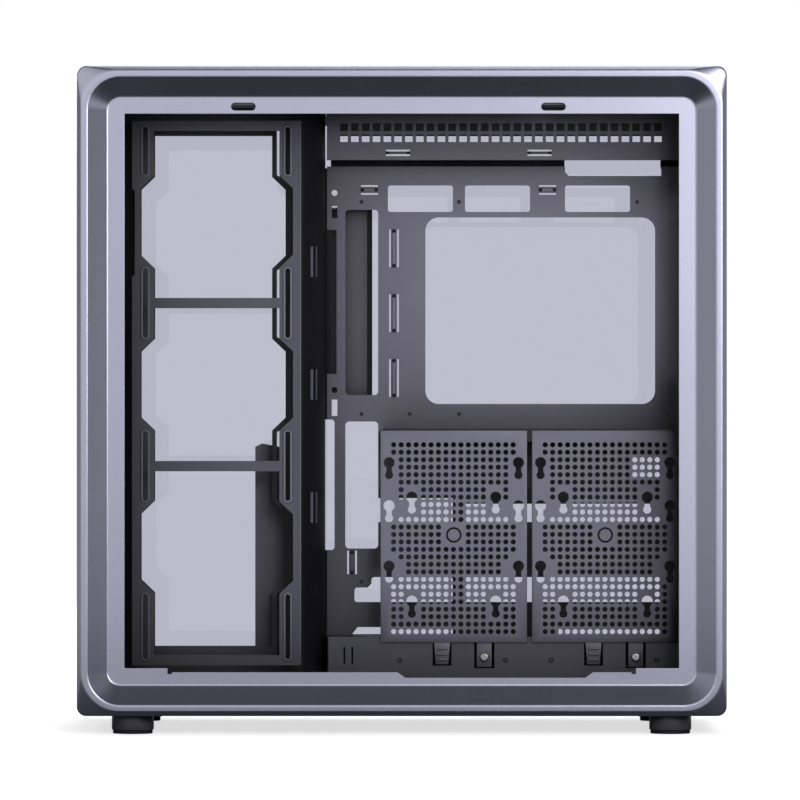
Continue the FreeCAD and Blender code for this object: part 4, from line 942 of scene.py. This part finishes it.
def cut_rods(places, radius):
    rods = [rod("key_rod", (x, plate_low.y, z), radius, ROD_LENGTH, "Y", 20) for x, z in places]
    cut(plate, gather("key_rods", rods))


def cut_necks(places, half_width, drop):
    near, far = plate_low.y - ROD_LENGTH / 2, plate_low.y + ROD_LENGTH / 2
    necks = [block("key_neck", (x - half_width, near, z - drop), (x + half_width, far, z))
             for x, z in places]
    cut(plate, gather("key_necks", necks))


keys = []
for span, drops in ((EDGE_KEY_SPAN, EDGE_KEY_DROPS), (INNER_KEY_SPAN, INNER_KEY_DROPS)):
    for x in (plate_middle - span / 2, plate_middle + span / 2):
        keys += [(x, plate_high.z - drop) for drop in drops]
cut_rods(keys, KEY_RADIUS)
cut_rods([(plate_middle, plate_high.z - PIN_DROP)], PIN_HOLE)
cut_necks(keys, KEY_NECK, KEY_DROP)
cut_rods([(x, z - KEY_DROP) for x, z in keys], KEY_FOOT)
print("keyholes in a plate:", len(keys))

# %% [markdown]
# Behind its edges the plate has folded returns, and below it a ribbed clip and a screw tab reach
# down to the shelf. They are thin blocks whose edges are rounded, and the clip is drawn in towards
# its foot and carries three pressed ribs.

# %% Returns, clip and screw tab
RETURN_DEPTH = 6.0
RETURN_TOP = 10.0
RETURN_RISE = 6.0
CLIP_START = 39.4
CLIP_LENGTH = 11.8
CLIP_DROP = 16.0
CLIP_TAPER = 1.2
RIB_DROPS = (4.5, 8.5, 12.5)
RIB_SIDE = 2.2
RIB_LIFT = 0.7
RIB_HALF = 0.8
TAB_START = 70.9
TAB_LENGTH = 11.0
TAB_DROP = 18.0
TAB_LAP = 4.0
back = plate_low.y + PLATE_SHEET
extras = []
for start in (plate_low.x, plate_high.x - PLATE_SHEET):
    extras.append(block("return", (start, back, plate_foot + RETURN_RISE),
                        (start + PLATE_SHEET, back + RETURN_DEPTH, plate_high.z - RETURN_TOP)))
clip_x = plate_low.x + CLIP_START
clip = block("clip", (clip_x, plate_low.y, plate_foot - CLIP_DROP),
             (clip_x + CLIP_LENGTH, back, plate_foot))
slope_ends(clip, CLIP_TAPER)
extras.append(clip)
for drop in RIB_DROPS:
    rib = block("rib", (clip_x + RIB_SIDE, plate_low.y - RIB_LIFT, plate_foot - drop - RIB_HALF),
                (clip_x + CLIP_LENGTH - RIB_SIDE, plate_low.y, plate_foot - drop + RIB_HALF))
    round_edges(rib, PRESSED_EDGE)
    extras.append(rib)
tab_x = plate_low.x + TAB_START
tab = block("tab", (tab_x, back, plate_foot - TAB_DROP),
            (tab_x + TAB_LENGTH, back + PLATE_SHEET, plate_foot + TAB_LAP))
extras.append(tab)
for piece in extras[:3] + [tab]:
    round_edges(piece, FOLD_EDGE)
front_plate = gather("perforated_plate_front", extras + [plate])
shade_smooth(front_plate)
rear_low, rear_high = corners_mm("drive_plate_rear")
rear_plate = twin(front_plate, "perforated_plate_rear", (rear_low.x - plate_low.x, 0, 0))
hand_over(front_plate, "steel_paint", "chassis", "drive_plate_front")
hand_over(rear_plate, "steel_paint", "chassis", "drive_plate_rear")
print("plate faces:", len(front_plate.data.polygons))

# %% [markdown]
# All the screws are the same pan-head machine screw. One is turned from a cylinder: the head's top
# edge is bevelled into a dome, and two crossed blades cut the recess for the driver. Copies of it
# are set where the frame has screws, along Y on the drive plates and along X at the back.

# %% A pan-head screw
HEAD_RADIUS = 3.1
HEAD_HEIGHT = 1.8
HEAD_DOME = 0.9
SHANK_RADIUS = 1.5
SHANK_LENGTH = 6.0
BLADE_LENGTH = 3.8
BLADE_WIDTH = 0.95
BLADE_DEPTH = 1.2


def pan_screw():
    """A screw at the origin whose head points along +Z."""
    head = rod("pan_screw", (0, 0, HEAD_HEIGHT / 2), HEAD_RADIUS, HEAD_HEIGHT, "Z", 32)
    upper = {point.index for point in head.data.vertices if point.co.z > HEAD_HEIGHT / 2 * MM}
    choose(head, "EDGE", lambda edge: upper.issuperset(edge.vertices))
    bpy.ops.mesh.bevel(offset=HEAD_DOME * MM, segments=4, affect="EDGES")
    edit_done()
    for x, y in ((BLADE_LENGTH / 2, BLADE_WIDTH / 2), (BLADE_WIDTH / 2, BLADE_LENGTH / 2)):
        cut(head, block("blade", (-x, -y, HEAD_HEIGHT - BLADE_DEPTH), (x, y, HEAD_HEIGHT + CUT_PAST)))
    shank = rod("shank", (0, 0, -SHANK_LENGTH / 2), SHANK_RADIUS, SHANK_LENGTH, "Z", 16)
    screw = gather("pan_screw", [shank, head])
    shade_smooth(screw, TURNED_ANGLE)
    return screw


def set_screws(name, pattern, places, turn):
    copies = []
    for place in places:
        pick(pattern)
        bpy.ops.object.duplicate()
        copy = bpy.context.active_object
        copy.rotation_euler = turn
        copy.location = Vector(place) * MM
        copies.append(settle(copy, name))
    return gather(name, copies)


screw_pattern = pan_screw()
print("screw faces:", len(screw_pattern.data.polygons))

# %% Screws at their places
def head_middles(node):
    """The box of a row of screws, drawn in to the middles of its outer heads."""
    low, high = corners_mm(node)
    inward = Vector((HEAD_RADIUS, HEAD_RADIUS, HEAD_RADIUS))
    return low + inward, high - inward


low, high = head_middles("plate_screws")
plate_face = corners_mm("plate_screws")[0].y + HEAD_HEIGHT
plate_places = [(x, plate_face, (low.z + high.z) / 2) for x in (low.x, high.x)]
low, high = head_middles("slot_cover_screws")
rear_face = corners_mm("slot_cover_screws")[1].x - HEAD_HEIGHT
cover_step = (high.z - low.z) / (SLOT_COVERS - 1)
cover_places = [(rear_face, (low.y + high.y) / 2, low.z + row * cover_step) for row in range(SLOT_COVERS)]
low, high = head_middles("psu_bracket_screws")
supply_face = corners_mm("psu_bracket_screws")[1].x - HEAD_HEIGHT
supply_places = [(supply_face, y, z) for y in (low.y, high.y) for z in (low.z, high.z)]

to_front = (math.radians(90), 0, 0)
to_rear = (0, math.radians(90), 0)
screw_rows = (("cross_screws_plates", "plate_screws", plate_places, to_front),
              ("cross_screws_covers", "slot_cover_screws", cover_places, to_rear),
              ("cross_screws_supply", "psu_bracket_screws", supply_places, to_rear))
for name, node, places, turn in screw_rows:
    hand_over(set_screws(name, screw_pattern, places, turn), node_slots[node], "chassis", node)
bpy.data.objects.remove(screw_pattern)
print("screws:", len(plate_places) + len(cover_places) + len(supply_places))

# %% [markdown]
# Each foot is a short turned drum with a rounded lower edge, on a thinner rubber pad. The lower face
# of a cylinder is inset and raised into a shallow hollow, and a bevel rounds the edges. The four feet
# and pads are copies of one pair.

# %% Feet and pads
FOOT_NAMES = ("front_right", "front_left", "rear_right", "rear_left")
FOOT_SIDES = 72
HOLLOW_INSET = 2.2
HOLLOW_RISE = 0.25


def drum(name, node, edge):
    low, high = corners_mm(node)
    piece = rod(name, (low + high) / 2, (high.x - low.x) / 2, high.z - low.z, "Z", FOOT_SIDES)
    choose(piece, "FACE", lambda face: face.normal.z < -0.9)
    bpy.ops.mesh.inset(thickness=HOLLOW_INSET * MM)
    bpy.ops.transform.translate(value=(0, 0, HOLLOW_RISE * MM))
    edit_done()
    round_edges(piece, edge, 3)
    shade_smooth(piece, TURNED_ANGLE)
    return piece


for kind, edge, slot in (("foot_", 0.9, "foot_plastic"), ("foot_pad_", 0.7, "foot_rubber")):
    first = drum("turned_" + kind + FOOT_NAMES[0], kind + FOOT_NAMES[0], edge)
    start = corners_mm(kind + FOOT_NAMES[0])[0]
    hand_over(first, slot, "chassis", kind + FOOT_NAMES[0])
    for place in FOOT_NAMES[1:]:
        copy = twin(first, "turned_" + kind + place, corners_mm(kind + place)[0] - start)
        hand_over(copy, slot, "chassis", kind + place)
print("feet and pads:", 2 * len(FOOT_NAMES))

# %% [markdown]
# Cables are tied to lanced straps: two thin slots leave a bridge of sheet that is pressed forward, so that
# a tie passes behind it, and the open ends of the bridge lie in shade. One strap is a block with rounded
# edges, set before the CAD slots. That shade is painted: a short round disc of black plastic sits at each
# end.

# %% Tie straps
tray_low, tray_high = corners_mm("motherboard_tray")
rail_low, rail_high = corners_mm("top_rail")
BOARD_CORNER = (tray_high.x - 11.1, rail_high.z - 68.7)
STRAP_LIFT = 0.8
STRAP_SEAT = 0.6
STRAP_WIDTH = 2.5
RAIL_STRAP_WIDTH = 0.7
MOUTH_RADIUS = 1.25
MOUTH_HEIGHT = 0.4
MOUTH_EDGE = 0.12
TIE_LENGTH = 12.6
TIE_BACKS = (221.4, 89.3)
TIE_RISE = 8.8
LONG_TIE_LENGTH = 28.0
LONG_TIE_BACK = 203.2
LONG_TIE_DROP = 34.5
LONG_TIE_PITCH = 48.1
LOW_TIE_LENGTH = 17.4
LOW_TIE_BACK = 234.3
LOW_TIE_DROP = 267.5
RAIL_TIE_LENGTH = 17.7
RAIL_TIE_STARTS = (52.6, 157.2)
RAIL_TIE_DROP = 33.0
straps = []
shade_discs = []


def tie_strap(x, face, z, length, width, upright):
    """A raised strap on the front face of a sheet, and two black discs at its ends: painted shade in its
    open mouths.
    """
    half = Vector((width / 2, 0, length / 2)) if upright else Vector((length / 2, 0, width / 2))
    front = Vector((x, face - STRAP_LIFT, z))
    strap = block("strap", front - half, Vector((x, face + STRAP_SEAT, z)) + half)
    round_edges(strap, FOLD_EDGE)
    straps.append(strap)
    reach = length / 2 - MOUTH_RADIUS
    along = Vector((0, 0, reach)) if upright else Vector((reach, 0, 0))
    for place in (front - along, front + along):
        # Each end gets a black disc: painted shade in the open mouth of the strap.
        shade_disc = rod("shade_disc", place, MOUTH_RADIUS, MOUTH_HEIGHT, "Y", 20)
        round_edges(shade_disc, MOUTH_EDGE, 1)
        shade_discs.append(shade_disc)


board_x, board_z = BOARD_CORNER
for back in TIE_BACKS:
    tie_strap(board_x - back, tray_low.y, board_z + TIE_RISE, TIE_LENGTH, STRAP_WIDTH, False)
for number in range(3):
    tie_strap(board_x - LONG_TIE_BACK, tray_low.y, board_z - LONG_TIE_DROP - number * LONG_TIE_PITCH,
              LONG_TIE_LENGTH, STRAP_WIDTH, True)
tie_strap(board_x - LOW_TIE_BACK, tray_low.y, board_z - LOW_TIE_DROP, LOW_TIE_LENGTH, STRAP_WIDTH, True)
for start in RAIL_TIE_STARTS:
    tie_strap(rail_low.x + start, rail_low.y, rail_high.z - RAIL_TIE_DROP,
              RAIL_TIE_LENGTH, RAIL_STRAP_WIDTH, False)
print("straps:", len(straps), "mouths:", len(shade_discs))
hand_over(gather("tie_straps", straps), "steel_paint", "chassis")
# The black discs are painted shade.
hand_over(gather("tie_mouth_shade_discs", shade_discs), "black_plastic", "chassis")

# %% [markdown]
# Each long slot of the fan bracket has a pressed rim that stiffens it and lets a screw head slide. A block
# with rounded ends is cut by a narrower one, and the ring that is left gets soft edges. The end slots are
# shorter, as on the bracket. The bracket's rear edge is hemmed. The rims and the hem take the lighter
# steel paint in place of the bracket's darker paint: painted highlights round the slots and along the
# edge.

# %% Rims of the bracket slots
bracket_low, bracket_high = corners_mm("fan_bracket")
SLOT_IN = 9.7
SLOT_HALF = 1.7
SLOT_LENGTH = 51.0
SLOT_END = 4.6
FAN_PITCH = 120.0
FAN_RISE = 4.7
RIM_LIFT = 0.7
RIM_SEAT = 0.4
RIM_WALL = 1.5
HEM_WIDTH = 0.9
HEM_END = 1.0
fan_middle = (frame_low.z + frame_high.z) / 2 + FAN_RISE


def slot_rim(x, low, high):
    outer = SLOT_HALF + RIM_WALL
    face = bracket_low.y
    rim = block("rim", (x - outer, face - RIM_LIFT, low - RIM_WALL),
                (x + outer, face + RIM_SEAT, high + RIM_WALL))
    round_ends(rim, outer)
    core = block("core", (x - SLOT_HALF, face - 2, low), (x + SLOT_HALF, face + 2, high))
    round_ends(core, SLOT_HALF)
    cut(rim, core)
    round_edges(rim, SOFT_EDGE)
    return rim


rims = []
for number in range(4):
    middle = fan_middle + (number - 1.5) * FAN_PITCH
    low = max(middle - SLOT_LENGTH / 2, bracket_low.z + SLOT_END)
    high = min(middle + SLOT_LENGTH / 2, bracket_high.z - SLOT_END)
    rims += [slot_rim(x, low, high) for x in (bracket_low.x + SLOT_IN, bracket_high.x - SLOT_IN)]
print("slot rims:", len(rims))
# The rims take the lighter steel paint: painted highlights on the darker bracket.
hand_over(gather("slot_rims", rims), "steel_paint", "chassis")
hem_highlight = block("bracket_hem_highlight",
            (bracket_high.x - HEM_WIDTH, bracket_low.y - RIM_LIFT / 2, bracket_low.z + HEM_END),
            (bracket_high.x, bracket_low.y + RIM_SEAT, bracket_high.z - HEM_END))
round_edges(hem_highlight, FOLD_EDGE)
# The hem takes the lighter steel paint: a painted highlight along the edge.
hand_over(hem_highlight, "steel_paint", "chassis")

# %% [markdown]
# The cable column is a bowed strip that turns away from the camera and falls into the dark. The
# solid has its flat chord. Here the foot that stands on the tray is a block, its front face is spun
# about the axis of the bow, and a ledge under the fan bracket ends the strip. A lap behind the tray
# closes the gap beside it, and leaves the tray's low notch open.

# %% Bowed cable column
column_low, column_high = corners_mm("cable_column")
COLUMN_SHEET = 1.2
COLUMN_LEDGE = 6.4
BOW_STEPS = 14
LAP_REACH = 3.4
NOTCH_TOP = 161.5
NOTCH_HEIGHT = 96.8
bow_start = column_low.x + COLUMN_LEDGE + COLUMN_SHEET
bow_far = column_high.y - 2 * COLUMN_SHEET
bow_run = column_high.x - bow_start
bow_depth = bow_far - column_low.y
bow_radius = (bow_run ** 2 + bow_depth ** 2) / (2 * bow_run)
bow_turn = math.asin(bow_depth / bow_radius)
column = block("cable_column_bowed", (column_high.x - COLUMN_SHEET, bow_far, column_low.z), column_high)
choose(column, "FACE", lambda face: face.normal.y < -0.9)
bpy.ops.mesh.spin(steps=BOW_STEPS, angle=bow_turn, axis=(0, 0, 1),
                  center=Vector((column_high.x - bow_radius, bow_far, 0)) * MM)
bpy.ops.mesh.select_all(action="SELECT")
bpy.ops.mesh.remove_doubles(threshold=0.001 * MM)
bpy.ops.mesh.normals_make_consistent(inside=False)
edit_done()
ledge = block("ledge", column_low, (bow_start, column_low.y + COLUMN_SHEET, column_high.z))
lap_back = tray_high.y + COLUMN_SHEET
lap_top = tray_high.z - COLUMN_SHEET
web = block("web", (column_high.x - COLUMN_SHEET, column_high.y, column_low.z),
            (column_high.x, lap_back, lap_top))
notch_high = board_z - NOTCH_TOP
laps = [block("lap", (column_high.x, tray_high.y, low), (tray_low.x + LAP_REACH, lap_back, high))
        for low, high in ((column_low.z, notch_high - NOTCH_HEIGHT), (notch_high, lap_top))]
column = gather("cable_column_bowed", [ledge, web] + laps + [column])
round_edges(column, THIN_EDGE)
shade_smooth(column)
print("bow radius:", round(bow_radius, 1), "mm, turn:", round(math.degrees(bow_turn), 1), "degrees")
hand_over(column, "black_plastic", "chassis", "cable_column")

# %% [markdown]
# The cable column has three pairs of upright tie bars that bridge its slots. One bar of a pair is wide
# and stands further out, and the other is narrow. They are blocks whose edges are rounded.

# %% Column bars
BAR_LENGTH = 22.7
BAR_PITCH = 90.6
BAR_DEPTH = 2.6
WIDE_BAR = {"start": -67.1, "end": -65.0, "face": -78.6}
NARROW_BAR = {"start": -63.4, "end": -62.2, "face": -72.4}
bars = []
for number in range(3):
    middle = fan_middle + (number - 1) * BAR_PITCH
    low, high = middle - BAR_LENGTH / 2, middle + BAR_LENGTH / 2
    for kind in (WIDE_BAR, NARROW_BAR):
        bar = block("bar", (kind["start"], kind["face"], low),
                    (kind["end"], kind["face"] + BAR_DEPTH, high))
        round_edges(bar, SOFT_EDGE)
        bars.append(bar)
# The bars take the darker bracket paint: painted shade.
hand_over(gather("column_bars", bars), "bracket_paint", "chassis")
print("bars:", len(bars))

# %% [markdown]
# The black pin of each drive plate has a painted cap, and the shelf below has four press studs that
# sit in round holes. All are small turned pieces: rods whose edges are rounded.

# %% Pin caps and shelf studs
shelf_low = corners_mm("bottom_shelf")[0]
CAP_RADIUS = 4.4
CAP_HEIGHT = 0.6
STUD_RISE = 12.6
STUD_PLACES = (14.0, 92.0)
STUD_RADIUS = 1.0
STUD_LENGTH = 3.2
SEAT_RADIUS = 1.65
SEAT_LENGTH = 0.8
SEAT_DEPTH = 3.4


def turned_pin(name, place, radius, length, sides):
    pin = rod(name, place, radius, length, "Y", sides)
    round_edges(pin, THIN_EDGE)
    return pin


caps = []
for low, high in ((plate_low, plate_high), (rear_low, rear_high)):
    place = ((low.x + high.x) / 2, low.y, high.z - PIN_DROP)
    caps.append(turned_pin("cap", place, CAP_RADIUS, CAP_HEIGHT, 40))
hand_over(gather("pin_caps", caps), "steel_paint", "chassis")
studs = []
for left in (plate_low.x, rear_low.x):
    for start in STUD_PLACES:
        place = Vector((left + start, shelf_low.y, shelf_low.z + STUD_RISE))
        stud = turned_pin("stud", place + Vector((0, STUD_LENGTH / 2, 0)), STUD_RADIUS, STUD_LENGTH, 24)
        seat = turned_pin("seat", place + Vector((0, SEAT_DEPTH, 0)), SEAT_RADIUS, SEAT_LENGTH, 24)
        studs += [seat, stud]
# The studs take the darker bracket paint: painted shade.
hand_over(gather("shelf_studs", studs), "bracket_paint", "chassis")
print("caps:", len(caps), "studs:", len(studs) // 2)
